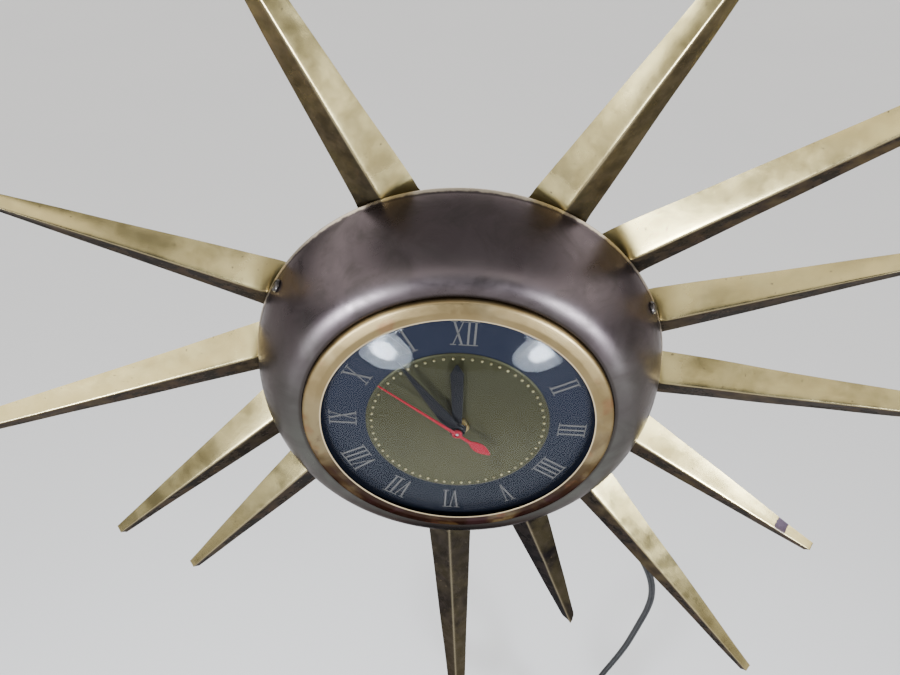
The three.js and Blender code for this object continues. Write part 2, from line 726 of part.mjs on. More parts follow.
function rotorCan() {
  const [front, back] = [STATOR[0], -27.2];
  const side = [[12.5, front], [13.6, front + 1], [13.6, back - 1.3], [12.4, back]];
  return at(turn([[0, front], ...side, [0, back]], 24), MOTOR_AXIS);
}

function statorCore() {
  const shape = outline([[-24, -60], [24, -60], [24, 0], [-24, 0]]);
  shape.holes.push(circle(14.2, MOTOR_AXIS.x, MOTOR_AXIS.z));
  shape.holes.push(new THREE.Path([[-16.5, -39], [16.5, -39], [16.5, -52], [-16.5, -52]]
    .map(([x, y]) => new THREE.Vector2(x, y))));
  for (const { x, z } of MOTOR_SCREWS) {
    shape.holes.push(circle(1.8, x, z));
  }
  return plate(shape, STATOR);
}

// The winding surrounds the lower bar of the core.
function motorCoil() {
  const middle = (STATOR[0] + STATOR[1]) / 2;
  const winding = box([-16, middle - 10, -68.6], [16, middle + 10, -43.4]);
  const core = box([-20, STATOR[0] - CLEARANCE, -60.3], [20, STATOR[1] + CLEARANCE, -51.7]);
  return cut(winding, core);
}

function motorScrew(place) {
  const head = STATOR[1] + CLEARANCE;
  const front = BACK_PLATE[0] - 1;
  const profile = [[0, front], [1.4, front], [1.4, head], [2.8, head], [2.6, head + 1.4], [0, head + 1.8]];
  return at(turn(profile, SMALL_STEPS), place);
}

// ---------------------------------------------------------------- cord

// Lays a piece that runs along +Y so that it leaves the pan at the cord's exit.
function alongCordExit(geometry, distance) {
  geometry.rotateZ(-Math.PI / 2).translate(distance, CORD_LEVEL, 0);
  return geometry.rotateY(-degrees(CORD_EXIT_ANGLE));
}

function cordGrommet() {
  const profile = [
    [0, 76.4],
    [3.6, 76.4],
    [3.6, 78.4],
    [3.1, 78.4],
    [3.1, GROMMET_START],
    [4.4, GROMMET_START + 0.8],
    [4.3, GROMMET_START + 4],
    [3, GROMMET_END],
    [0, GROMMET_END],
  ];
  return alongCordExit(turn(profile, SMALL_STEPS), 0);
}

function cordSection() {
  const shape = new THREE.Shape();
  const sides = 8;
  for (let i = 0; i < sides; i += 1) {
    const angle = ((i + 0.5) / sides) * 2 * Math.PI;
    const point = [(CORD_THICKNESS / 2) * Math.cos(angle), (CORD_WIDTH / 2) * Math.sin(angle)];
    shape[i === 0 ? 'moveTo' : 'lineTo'](...point);
  }
  return shape;
}

function powerCord() {
  const start = polar(GROMMET_END + CLEARANCE, CORD_EXIT_ANGLE);
  const points = [[start.x, CORD_LEVEL, start.z], ...CORD_ROUTE];
  const path = new THREE.CatmullRomCurve3(points.map((point) => new THREE.Vector3(...point)));
  return weld(new THREE.ExtrudeGeometry(cordSection(), { steps: 36, extrudePath: path }));
}

function cordCoil() {
  const { x, y, z, radius, halfSection } = COIL;
  const bevel = halfSection * 0.4;
  const profile = [
    [radius - halfSection, -halfSection + bevel],
    [radius - halfSection + bevel, -halfSection],
    [radius + halfSection - bevel, -halfSection],
    [radius + halfSection, -halfSection + bevel],
    [radius + halfSection, halfSection - bevel],
    [radius + halfSection - bevel, halfSection],
    [radius - halfSection + bevel, halfSection],
    [radius - halfSection, halfSection - bevel],
  ];
  return turn(profile, 24).translate(x, y, z);
}

// A twisted band around the turns, at the top of the coil.
function cordTie() {
  const { x, y, z, radius, halfSection } = COIL;
  const inner = halfSection + 2 * CLEARANCE;
  const band = inner + 1;
  const [left, right] = [x - 2.5, x + 2.5];
  const middle = z + radius;
  const outside = box([left, y - band, middle - band], [right, y + inner + 0.6, middle + band]);
  const inside = box([left - 1, y - inner, middle - inner], [right + 1, y + inner, middle + inner]);
  return cut(outside, inside);
}

function plugBody() {
  const { x, y, top } = PLUG;
  const levels = [[0, 0.45], [-4, 0.6], [-8, 1], [-24, 1], [-26, 0.92]];
  const sections = levels.map(([drop, share]) => {
    const corners = [[-10, -3], [-7, -6], [7, -6], [10, -3], [10, 3], [7, 6], [-7, 6], [-10, 3]];
    return corners.map(([across, deep]) => {
      return new THREE.Vector3(x + across * share, y + deep * share, top + drop);
    });
  });
  return loft(sections);
}

function plugBlade(side) {
  const { x, y, top } = PLUG;
  const middle = x + side * 6.35;
  const base = top - 26 - CLEARANCE;
  return box([middle - 0.75, y - 3.1, base - 16.5], [middle + 0.75, y + 3.1, base]);
}

// ---------------------------------------------------------------- the clock

function material(color, metalness, roughness, extra = {}) {
  return new THREE.MeshStandardMaterial({ color, metalness, roughness, ...extra });
}

const finishes = {
  rayBrass: material(0xb8a878, 1, 0.38),
  bronze: material(0x5b5350, 1, 0.3),
  bezelBrass: material(0xc09a5e, 1, 0.32),
  glass: material(0xf2f6f8, 0, 0.05, { transparent: true, opacity: 0.25 }),
  dialBlue: material(0x4a5268, 0.2, 0.55),
  dialGold: material(0x8c8650, 0.8, 0.45),
  blackPaint: material(0x0c0d12, 0, 0.4),
  redPaint: material(0xc01c3a, 0, 0.45),
  brass: material(0xc8a24a, 1, 0.3),
  steel: material(0x8d9094, 1, 0.4),
  pan: material(0x6c6658, 0.8, 0.5),
  core: material(0x55575a, 0.6, 0.6),
  copper: material(0x8a3a1e, 0.2, 0.5),
  knob: material(0x2a2422, 0, 0.5),
  rubber: material(0x17171a, 0, 0.6),
};

const clock = new THREE.Group();

function add(name, geometry, finish) {
  const mesh = new THREE.Mesh(geometry, finish);
  mesh.name = name;
  clock.add(mesh);
}

for (const place of RAYS) {
  add(place.name, ray(place), finishes.rayBrass);
}

add('dome_case', domeCase(), finishes.bronze);
add('bezel', bezel(), finishes.bezelBrass);
add('crystal', crystal(), finishes.glass);
add('rear_pan', rearPan(), finishes.pan);
add('hanger_plate', hangerPlate(), finishes.steel);
add('ray_ring', rayRing(), finishes.pan);
CASE_SCREW_ANGLES.forEach((angle, i) => {
  add(`case_screw_${i + 1}`, caseScrew(angle), finishes.steel);
});

add('dial_plate', bar(DIAL_RADIUS, DIAL, 4.4, HIDDEN_STEPS), finishes.dialBlue);
add('dial_centre', dialCentre(), finishes.dialGold);
add('hand_nut', handNut(), finishes.brass);
add('centre_bushing', bushing(), finishes.brass);
add('hour_hand', hourHand(), finishes.blackPaint);
add('minute_hand', minuteHand(), finishes.blackPaint);
add('second_hand', secondHand(), finishes.redPaint);

add('movement_front_plate', frontPlate(), finishes.brass);
add('movement_back_plate', backPlate(), finishes.brass);
PILLARS.forEach((place, i) => {
  add(`movement_pillar_${i + 1}`, pillar(place), finishes.brass);
});
add('seconds_arbor', secondsArbor(), finishes.steel);
add('seconds_wheel', secondsWheel(), finishes.brass);
add('intermediate_arbor', intermediateArbor(), finishes.steel);
add('intermediate_wheel', intermediateWheel(), finishes.brass);
add('minute_tube', minuteTube(), finishes.steel);
add('centre_wheel', centreWheel(), finishes.brass);
add('clutch_spring', clutchSpring(), finishes.steel);
add('motion_pinion', motionPinion(), finishes.steel);
add('motion_wheel', motionWheel(), finishes.brass);
add('hour_wheel', hourWheel(), finishes.brass);
add('set_shaft', setShaft(), finishes.steel);
add('set_knob', setKnob(), finishes.knob);
add('motor_pinion', motorPinion(), finishes.brass);
add('motor_rotor_can', rotorCan(), finishes.steel);
add('motor_stator_core', statorCore(), finishes.core);
add('motor_coil', motorCoil(), finishes.copper);
MOTOR_SCREWS.forEach((place, i) => {
  add(`motor_screw_${i + 1}`, motorScrew(place), finishes.steel);
});

add('cord_grommet', cordGrommet(), finishes.rubber);
add('power_cord', powerCord(), finishes.rubber);
add('cord_coil', cordCoil(), finishes.rubber);
add('cord_tie', cordTie(), finishes.knob);
add('plug_body', plugBody(), finishes.rubber);
add('plug_blade_1', plugBlade(-1), finishes.brass);
add('plug_blade_2', plugBlade(1), finishes.brass);

export default clock;
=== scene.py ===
"""Finished look of the sunburst wall clock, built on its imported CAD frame.

Sizes are in millimetres and are scaled to Blender's metres as a mesh is made. The wall is the
plane y = 0, the dial faces -y, XII points along +z and III along +x. Angles named "station" and
"lean" run from +x towards +z, and hand angles run clockwise from XII.
"""

import math
from contextlib import contextmanager

import bmesh
import bpy
from mathutils import Matrix, Vector, noise


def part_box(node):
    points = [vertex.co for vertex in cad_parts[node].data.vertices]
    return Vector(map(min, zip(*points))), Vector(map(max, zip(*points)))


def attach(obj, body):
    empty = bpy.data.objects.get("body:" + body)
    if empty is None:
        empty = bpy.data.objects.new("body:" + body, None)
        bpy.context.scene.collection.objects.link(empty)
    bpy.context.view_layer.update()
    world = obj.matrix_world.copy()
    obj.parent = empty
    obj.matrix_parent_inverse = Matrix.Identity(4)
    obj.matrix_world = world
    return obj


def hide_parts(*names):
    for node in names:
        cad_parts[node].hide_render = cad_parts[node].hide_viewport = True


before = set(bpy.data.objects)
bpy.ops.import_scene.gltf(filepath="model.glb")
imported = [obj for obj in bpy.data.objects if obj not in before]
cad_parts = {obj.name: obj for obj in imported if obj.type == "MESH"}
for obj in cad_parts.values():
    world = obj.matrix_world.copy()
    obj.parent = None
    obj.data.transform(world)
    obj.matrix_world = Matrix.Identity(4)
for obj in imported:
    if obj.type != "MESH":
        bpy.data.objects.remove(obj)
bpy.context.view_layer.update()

MM = 0.001
TURN = 2 * math.pi


def reach(node):
    """How far a node reaches along +x, in millimetres: the radius of a turned piece."""
    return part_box(node)[1][0] / MM


def front(node):
    """The level of a node's front face."""
    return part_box(node)[0][1] / MM


def back(node):
    """The level of a node's back face."""
    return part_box(node)[1][1] / MM


def polar(distance, angle):
    """(x, z) of a point at an angle in degrees from +x towards +z."""
    return distance * math.cos(math.radians(angle)), distance * math.sin(math.radians(angle))


# ------------------------------------------------------------------ driving sizes

RIM_RADIUS = reach("dome_case") - 0.9
DOME_REAR = -22
DOME_FRONT = front("dome_case")
DOME_FRONT_RADIUS = reach("bezel") + 1
DOME_SHOULDER = 1.05
DOME_RISE = 1.3
DOME_SWELL = 0.7
DOME_BORE = 67.3
SEAT = -62
GLASS_SEAT = -64.8
GLASS_RADIUS = reach("crystal") - 8.4
SHEET = 0.9

DIAL_FACE = front("dial_plate")
CENTRE_FACE = front("dial_centre")
CENTRE_RADIUS = reach("dial_centre")
DIAL_BORE = 4.4
BEAD_CIRCLE = 42
NUMERAL_CIRCLE = 56
NUMERAL_HEIGHT = 13

HOUR_ANGLE = -3.5
MINUTE_ANGLE = -35.2
SECOND_ANGLE = -53

# name, station, slip round it, tip radius, lean, rake (how far it comes forward for each
# millimetre outwards), shade share (how far painted shade darkens the whole ray). Each old
# ray has been bent a little in its own way.
RAYS = [
    ("ray_east", 0, -0.7, 317, 5.8, 0.233, 0.1),
    ("ray_east_north_east", 1, -0.9, 250, 4.6, 0.188, 0.3),
    ("ray_north_east", 2, -1.1, 325, -0.3, 0.26, 0),
    ("ray_north_north_east", 3, -0.9, 253, 1, 0.227, 0.15),
    ("ray_north_north_west", 5, 0.2, 250, 3.1, 0.215, 0.1),
    ("ray_west_north_west", 7, -1.2, 242, -2, 0.222, 0.2),
    ("ray_west", 8, -0.6, 313, 15.5, 0.207, 0),
    ("ray_west_south_west", 9, -0.1, 240, 18.8, 0.205, 0.3),
    ("ray_south_west", 10, -0.6, 232, 2.7, 0.186, 0.35),
    ("ray_south", 12, -0.3, 318, 5.7, 0.226, 0.97),
    ("ray_south_south_east", 13, -0.1, 224, 1.9, 0.215, 1),
    ("ray_south_east", 14, -0.5, 293, -0.7, 0.267, 0.1),
    ("ray_east_south_east", 15, -0.9, 235, -3.1, 0.27, 0),
]
STATION_STEP = 22.5
RAY_ROOT_RADIUS = 105
RAY_ROOT_HALF_WIDTH = 14.8
RAY_TIP_HALF_WIDTH = 3.5
RAY_ROOT_HEIGHT = 9.9
RAY_TIP_HEIGHT = 3.1
RAY_ROOT_BACK = -12.6
RAY_CURL_END = 4.6
RAY_ROOT_CIRCLE = 100.7
RAY_EDGE_LIFT = 1.2
TAB_LEVELS = (-12.7, -11.5)

CASE_SCREW_ANGLES = (30, 150, 270)
CASE_SCREW_SEAT = 104.2
CASE_SCREW_LEVEL = -29.5
CASE_SCREW_TILT = 13

PAN_DEPTH = 10
PAN_SHEET = 1.2
PAN_FACE_RADIUS = 80
PAN_FLANGE_RADIUS = 99
KEYHOLE_HEIGHT = 50
KNOB_AXIS = polar(28.8, 50)
KNOB_POCKET_RADIUS = 11
KNOB_POCKET_DEPTH = 9.6
KNOB_POCKET_WALL = 1.1
RING_BORE = 82
RING_RADIUS = 100.2
RING_LEVELS = (-13, -34)
RING_SHEET = 1.2

CORD_EXIT_ANGLE = -50
CORD_LEVEL = -5
CORD_WIDTH = 5
CORD_THICKNESS = 2.7
GROMMET_START = 84.4
GROMMET_END = 106
WALL_LEVEL = -1.6
CORD_ROUTE = [
    (74.5, -4.6, -89),
    (82, -3.6, -98.6),
    (93, -2.4, -113),
    (105, WALL_LEVEL, -129.5),
    (117, WALL_LEVEL, -147),
    (128, WALL_LEVEL, -164),
    (138, WALL_LEVEL, -180.5),
    (146.5, WALL_LEVEL, -196.5),
    (152.8, WALL_LEVEL, -212.5),
    (156.2, WALL_LEVEL, -229.5),
    (156.4, WALL_LEVEL, -246),
    (154.9, WALL_LEVEL, -262),
    (153, WALL_LEVEL, -279),
    (150.8, WALL_LEVEL, -296),
    (147.4, WALL_LEVEL, -313),
    (143.8, WALL_LEVEL, -328),
    (140.4, WALL_LEVEL, -342),
    (137.3, WALL_LEVEL - 0.6, -356),
    (135.2, WALL_LEVEL - 1.6, -367),
    (135, WALL_LEVEL - 2.2, -374.6),
]
COIL_CENTRE = Vector((108, -9.2, -400))
COIL_RADIUS = 27
COIL_SPACING = 5
CORD_STEP = 1.6
PLUG = Vector((135, -10, -427.3))

# The place is in metres and the angles are in degrees: yaw towards +x, pitch upwards.
CAMERA_PLACE = (-0.01081, -0.32839, 0.26317)
CAMERA_LENS = 30.47
CAMERA_YAW = 0.936
CAMERA_PITCH = -38.349
CAMERA_ROLL = 3.902

# The brightness that the camera sees behind everything.
BACKGROUND = 0.6


def linked(name, data):
    """A new object in the scene."""
    made = bpy.data.objects.new(name, data)
    bpy.context.scene.collection.objects.link(made)
    return made


# ------------------------------------------------------------------ camera

def make_camera():
    """Looks down on the dial from in front, a little to the left of its axis."""
    lens = bpy.data.cameras.new("camera")
    lens.sensor_width = 36
    lens.lens = CAMERA_LENS
    lens.clip_start = 0.01
    camera = linked("camera", lens)
    camera.matrix_world = (
        Matrix.Translation(CAMERA_PLACE)
        @ Matrix.Rotation(-math.radians(CAMERA_YAW), 4, "Z")
        @ Matrix.Rotation(math.radians(90 + CAMERA_PITCH), 4, "X")
        @ Matrix.Rotation(math.radians(CAMERA_ROLL), 4, "Z")
    )
    bpy.context.scene.camera = camera


# ------------------------------------------------------------------ making meshes

@contextmanager
def reshaped(mesh):
    """Opens a mesh for changes and writes them back."""
    shaped = bmesh.new()
    shaped.from_mesh(mesh)
    yield shaped
    shaped.to_mesh(mesh)
    shaped.free()


def mesh_of(name, points, faces):
    """A mesh from points in millimetres, with its faces all turned the same way."""
    mesh = bpy.data.meshes.new(name)
    mesh.from_pydata([Vector(p) * MM for p in points], [], faces)
    mesh.validate()
    with reshaped(mesh) as shaped:
        bmesh.ops.recalc_face_normals(shaped, faces=shaped.faces)
    return mesh


def new_piece(name, points, faces, finish=None, body="case", slot=None, stands_for=(), sharp=35):
    """A smooth-shaded mesh piece from points in millimetres, riding on a CAD body."""
    piece = linked(name, mesh_of(name, points, faces))
    soften(piece, sharp)
    if finish:
        piece.data.materials.append(finish)
    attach(piece, body)
    if stands_for:
        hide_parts(*stands_for)
    return piece


def soften(piece, sharp=35):
    piece.data.shade_smooth()
    piece.data.set_sharp_from_angle(angle=math.radians(sharp))


def applied(piece):
    """Replaces a piece's mesh by the result of its modifiers."""
    shape = bpy.data.meshes.new_from_object(
        piece.evaluated_get(bpy.context.evaluated_depsgraph_get())
    )
    piece.modifiers.clear()
    piece.data = shape


def revolve(profile, steps):
    """Points and faces of a profile of (radius, level) turned about the y axis.

    The profile closes on itself, unless it starts and ends on the axis.
    """
    open_profile = profile[0][0] == 0 and profile[-1][0] == 0
    points, rings = [], []
    for radius, level in profile:
        if radius == 0:
            rings.append([len(points)] * steps)
            points.append((0, level, 0))
            continue
        rings.append(list(range(len(points), len(points) + steps)))
        for i in range(steps):
            angle = i * TURN / steps
            points.append((radius * math.cos(angle), level, radius * math.sin(angle)))
    pairs = list(zip(rings, rings[1:]))
    if not open_profile:
        pairs.append((rings[-1], rings[0]))
    faces = []
    for lower, upper in pairs:
        for i in range(steps):
            j = (i + 1) % steps
            corners = [lower[i], lower[j], upper[j], upper[i]]
            faces.append(list(dict.fromkeys(corners)))
    return points, faces


def rounded(profile, radius, steps=3):
    """Rounds the corners of a closed profile, by at most the given radius."""
    count = len(profile)
    softer = []
    for i, corner in enumerate(profile):
        here = Vector(corner)
        before = Vector(profile[i - 1]) - here
        after = Vector(profile[(i + 1) % count]) - here
        start = here + before.normalized() * min(radius, before.length * 0.45)
        end = here + after.normalized() * min(radius, after.length * 0.45)
        for k in range(steps + 1):
            t = k / steps
            softer.append(tuple(start * (1 - t) ** 2 + here * 2 * t * (1 - t) + end * t * t))
    return softer


def turned_piece(name, profile, steps=160, radius=0, **settings):
    """A turned piece about the y axis, with its corners rounded when it is closed."""
    outline = rounded(profile, radius) if radius else profile
    return new_piece(name, *revolve(outline, steps), **settings)


def skin(sections):
    """Points and faces of rings of equal length, joined in order and closed at both ends."""
    size = len(sections[0])
    points = [point for section in sections for point in section]
    faces = []
    for s in range(len(sections) - 1):
        for i in range(size):
            a = s * size + i
            b = s * size + (i + 1) % size
            faces.append((a, b, b + size, a + size))
    last = len(points) - size
    faces.append(tuple(range(size - 1, -1, -1)))
    faces.append(tuple(range(last, last + size)))
    return points, faces


def bevelled_plate(name, outline, levels, edge, angle, **settings):
    """A flat piece with an outline in (x, z) that points at XII, turned clockwise by an angle.

    Its front edges are rounded over by the given edge.
    """
    near, far = levels
    points = [(x, near, z) for x, z in outline] + [(x, far, z) for x, z in outline]
    count = len(outline)
    faces = [tuple(range(count)), tuple(range(2 * count - 1, count - 1, -1))]
    for i in range(count):
        j = (i + 1) % count
        faces.append((i, j, j + count, i + count))
    turn = Matrix.Rotation(math.radians(angle), 3, "Y")
    points = [turn @ Vector(p) for p in points]
    piece = new_piece(name, points, faces, **settings)
    with reshaped(piece.data) as shaped:
        rim = [e for e in shaped.edges if all(abs(v.co.y - near * MM) < 1e-6 for v in e.verts)]
        bmesh.ops.bevel(shaped, geom=rim, offset=edge * MM, segments=3, affect="EDGES", profile=0.6)
    soften(piece, 50)
    return piece


def box_shape(low, high):
    """A box between two corners, as points and faces."""
    sides = list(zip(low, high))
    corners = [(x, y, z) for x in sides[0] for y in sides[1] for z in sides[2]]
    faces = [(0, 1, 3, 2), (4, 6, 7, 5), (0, 4, 5, 1), (2, 3, 7, 6), (0, 2, 6, 4), (1, 5, 7, 3)]
    return corners, faces


def merged(*shapes):
    """One list of points and faces from several."""
    points, faces = [], []
    for more_points, more_faces in shapes:
        start = len(points)
        points.extend(more_points)
        faces.extend([[start + i for i in face] for face in more_faces])
    return points, faces


def moved(shape, matrix):
    points, faces = shape
    return [matrix @ Vector(p) for p in points], faces


def boolean(piece, shape, operation):
    """Cuts or joins a closed shape, given as points and faces, with a piece."""
    tool = linked("tool", mesh_of("tool", *shape))
    change = piece.modifiers.new("change", "BOOLEAN")
    change.operation = operation
    change.solver = "EXACT"
    change.object = tool
    applied(piece)
    bpy.data.objects.remove(tool)


def bar(radius, levels, steps, x=0, z=0):
    """A round bar along y, as points and faces."""
    shape = revolve([(0, levels[0]), (radius, levels[0]), (radius, levels[1]), (0, levels[1])], steps)
    return moved(shape, Matrix.Translation((x, 0, z)))


# ------------------------------------------------------------------ making materials

class Shader:
    """A node material with short ways to add what a finish is made of."""

    def __init__(self, name):
        self.material = bpy.data.materials.new(name)
        self.material.use_nodes = True
        self.tree = self.material.node_tree
        self.tree.nodes.clear()
        self.output = self.node("ShaderNodeOutputMaterial")
        self.place = self.node("ShaderNodeTexCoord").outputs["Object"]

    def node(self, kind, **settings):
        made = self.tree.nodes.new(kind)
        for key, value in settings.items():
            setattr(made, key, value)
        return made

    def feed(self, value, socket):
        if isinstance(value, bpy.types.NodeSocket):
            self.tree.links.new(value, socket)
        else:
            socket.default_value = value

    def noise(self, size, detail=4, roughness=0.55, distortion=0, stretch=None):
        """Noise whose features are about the given size in millimetres, from 0 to 1."""
        made = self.node("ShaderNodeTexNoise")
        made.inputs["Scale"].default_value = 1000 / size
        made.inputs["Detail"].default_value = detail
        made.inputs["Roughness"].default_value = roughness
        made.inputs["Distortion"].default_value = distortion
        place = self.place
        if stretch:
            place = self.vector("MULTIPLY", place, stretch)
        self.feed(place, made.inputs["Vector"])
        return made.outputs["Fac"]

    def vector(self, operation, first, second):
        made = self.node("ShaderNodeVectorMath", operation=operation)
        self.feed(first, made.inputs[0])
        self.feed(second, made.inputs[1])
        return made.outputs["Vector"]

    def math(self, operation, first, second=0.0):
        made = self.node("ShaderNodeMath", operation=operation)
        self.feed(first, made.inputs[0])
        self.feed(second, made.inputs[1])
        return made.outputs[0]

    def steps(self, value, low, high, start=0.0, end=1.0):
        """Maps a value smoothly so that low becomes start and high becomes end."""
        made = self.node("ShaderNodeMapRange", interpolation_type="SMOOTHSTEP")
        for socket, number in zip(made.inputs, (value, low, high, start, end)):
            self.feed(number, socket)
        return made.outputs[0]

    def mix(self, share, first, second, blend="MIX"):
        made = self.node("ShaderNodeMix", data_type="RGBA", blend_type=blend)
        self.feed(share, made.inputs[0])
        self.feed(colour(first), made.inputs[6])
        self.feed(colour(second), made.inputs[7])
        return made.outputs[2]

    def tint(self, base, mask, amount, tone):
        """Lays a tone over the base colour, at most by the given amount."""
        return self.mix(self.math("MULTIPLY", mask, amount), base, tone)

    def uneven(self, value, size, amount, roughness=0.55):
        """Adds noise to a value, so that a step at one of its levels has a ragged edge."""
        spread = self.math("MULTIPLY", self.noise(size, 4, roughness), amount)
        return self.math("ADD", value, spread)

    def rings(self, radius, scale, detail=2):
        """Noise that only changes with the radius, as on a turned surface."""
        made = self.node("ShaderNodeTexNoise", noise_dimensions="1D")
        made.inputs["Scale"].default_value = scale
        made.inputs["Detail"].default_value = detail
        self.feed(radius, made.inputs["W"])
        return made.outputs["Fac"]

    def axes(self):
        made = self.node("ShaderNodeSeparateXYZ")
        self.feed(self.place, made.inputs[0])
        return made.outputs

    def radius(self):
        """Distance from the clock's axis in millimetres."""
        flat = self.vector("MULTIPLY", self.place, (1000, 0, 1000))
        made = self.node("ShaderNodeVectorMath", operation="LENGTH")
        self.feed(flat, made.inputs[0])
        return made.outputs["Value"]

    def attribute(self, name):
        return self.node("ShaderNodeAttribute", attribute_name=name).outputs["Fac"]

    def bump(self, height, depth, previous=None):
        """Surface relief of the given depth in millimetres."""
        made = self.node("ShaderNodeBump")
        made.inputs["Strength"].default_value = 1
        made.inputs["Distance"].default_value = depth * MM
        self.feed(height, made.inputs["Height"])
        if previous:
            self.feed(previous, made.inputs["Normal"])
        return made.outputs["Normal"]

    def finish(self, base, roughness, metallic=0.0, normal=None, **extra):
        surface = self.node("ShaderNodeBsdfPrincipled")
        self.feed(colour(base), surface.inputs["Base Color"])
        self.feed(roughness, surface.inputs["Roughness"])
        self.feed(metallic, surface.inputs["Metallic"])
        if normal:
            self.feed(normal, surface.inputs["Normal"])
        sockets = {socket.name.lower(): socket for socket in surface.inputs}
        for key, value in extra.items():
            self.feed(value, sockets[key.replace("_", " ")])
        self.tree.links.new(surface.outputs[0], self.output.inputs["Surface"])
        return self.material


def colour(value):
    return (*value, 1.0) if isinstance(value, tuple) and len(value) == 3 else value


def ray_brass():
    """Champagne brass, mottled and specked, with painted brown-grey shade where it faces down and on the
    darker rays.
    """
    s = Shader("ray_brass")
    clouds = s.steps(s.noise(34, 6, 0.6, 0.6), 0.35, 0.68)
    mottle = s.steps(s.noise(7, 5, 0.65), 0.36, 0.66)
    base = s.mix(clouds, (0.52, 0.42, 0.185), (0.58, 0.48, 0.225))
    base = s.tint(base, mottle, 0.2, (0.40, 0.32, 0.14))
    green = s.steps(s.noise(40, 5, 0.6, 1.2), 0.58, 0.78)
    base = s.tint(base, green, 0.15, (0.38, 0.33, 0.15))
    # Painted shade: the under attribute turns facets that face down, and a thin line where the root
    # dives under the rim, dark brown.
    brown = s.mix(mottle, (0.018, 0.014, 0.012), (0.054, 0.041, 0.030))
    under = s.math("MULTIPLY", s.attribute("under"), s.steps(s.noise(20, 5, 0.6), 0.2, 0.7, 0.9, 1.0))
    base = s.mix(under, base, brown)
    # Painted shade: this darkens whole rays almost to black, most of all the south ones.
    ray_shade = s.math("MULTIPLY", s.attribute("ray_shade"), s.steps(clouds, 0.0, 1.0, 0.92, 1.0))
    base = s.mix(ray_shade, base, s.mix(mottle, (0.006, 0.005, 0.006), (0.020, 0.016, 0.016)))
    ragged = s.uneven(s.attribute("worn"), 5, 0.8, 0.6)
    base = s.mix(s.steps(ragged, 0.96, 1.02), base, (0.060, 0.045, 0.060))
    specks = s.steps(s.noise(2.1, 2, 0.5), 0.70, 0.76)
    base = s.tint(base, specks, 0.75, (0.14, 0.11, 0.07))
    fold = s.attribute("fold")
    base = s.tint(base, fold, 0.45, (0.30, 0.25, 0.16))
    scratches = s.noise(1.2, 3, 0.6, 0, (1, 1, 6))
    roughness = s.steps(s.noise(16, 5, 0.6), 0.3, 0.7, 0.17, 0.27)
    roughness = s.math("ADD", roughness, s.math("MULTIPLY", under, 0.1))
    roughness = s.math("ADD", roughness, s.steps(s.radius(), 128, 106, 0.0, 0.14))
    # Where shade is painted, the sheet is also less metallic and its reflection dimmer, as part of that
    # painted shade.
    painted_shade = s.math("MAXIMUM", under, ray_shade)
    metallic = s.math("SUBTRACT", 1.0, s.math("MULTIPLY", painted_shade, 0.15))
    edge_gloss = s.mix(painted_shade, (1.0, 1.0, 1.0), (0.3, 0.28, 0.27))
    relief = s.bump(s.noise(26, 3, 0.5), 0.18)
    relief = s.bump(scratches, 0.006, relief)
    return s.finish(base, roughness, metallic, relief, specular_tint=edge_gloss)


def bronze():
    """Smudged gunmetal, brown-violet on top and grey-green at the sides, with painted shade low down and
    by the bezel, and a pale rim from wear and a painted highlight.
    """
    s = Shader("bronze_case")
    z = s.axes()[2]
    top = s.steps(s.uneven(z, 45, 0.05), 0.0, 0.09)
    base = s.mix(top, (0.072, 0.071, 0.062), (0.086, 0.069, 0.072))
    smudge = s.steps(s.noise(28, 6, 0.62, 1.5), 0.42, 0.68)
    base = s.tint(base, smudge, 0.55, (0.050, 0.043, 0.040))
    haze = s.steps(s.noise(60, 4, 0.5, 0.8), 0.5, 0.75)
    base = s.tint(base, haze, 0.4, (0.125, 0.12, 0.107))
    radius = s.radius()
    # The pale rim is partly wear and partly a painted highlight where the rolled edge catches the light.
    edge = s.uneven(radius, 4, 0.9)
    rim = s.steps(edge, RIM_RADIUS + 0.35, RIM_RADIUS + 0.95)
    base = s.tint(base, rim, 0.85, (0.62, 0.54, 0.42))
    # Painted shade: a dark band on the dome where it meets the bezel.
    bezel_edge_shade = s.steps(radius, DOME_FRONT_RADIUS + 1.6, DOME_FRONT_RADIUS + 0.3)
    base = s.tint(base, bezel_edge_shade, 0.7, (0.03, 0.024, 0.02))
    # Painted shade: the dome darkens almost to black towards the bottom, and the gloss tint further down
    # dims its reflection there too.
    low = s.steps(s.uneven(z, 40, 0.03), -0.02, -0.085)
    base = s.tint(base, low, 0.92, (0.018, 0.015, 0.015))
    roughness = s.steps(s.noise(22, 6, 0.65, 1.0), 0.3, 0.72, 0.25, 0.38)
    roughness = s.math("ADD", roughness, s.math("MULTIPLY", smudge, 0.06))
    relief = s.bump(s.noise(1.6, 3, 0.6), 0.004)
    relief = s.bump(s.noise(50, 2, 0.4), 0.12, relief)
    edge_gloss = s.mix(low, (0.7, 0.66, 0.66), (0.25, 0.22, 0.22))
    return s.finish(base, roughness, 0.95, relief, specular_tint=edge_gloss)


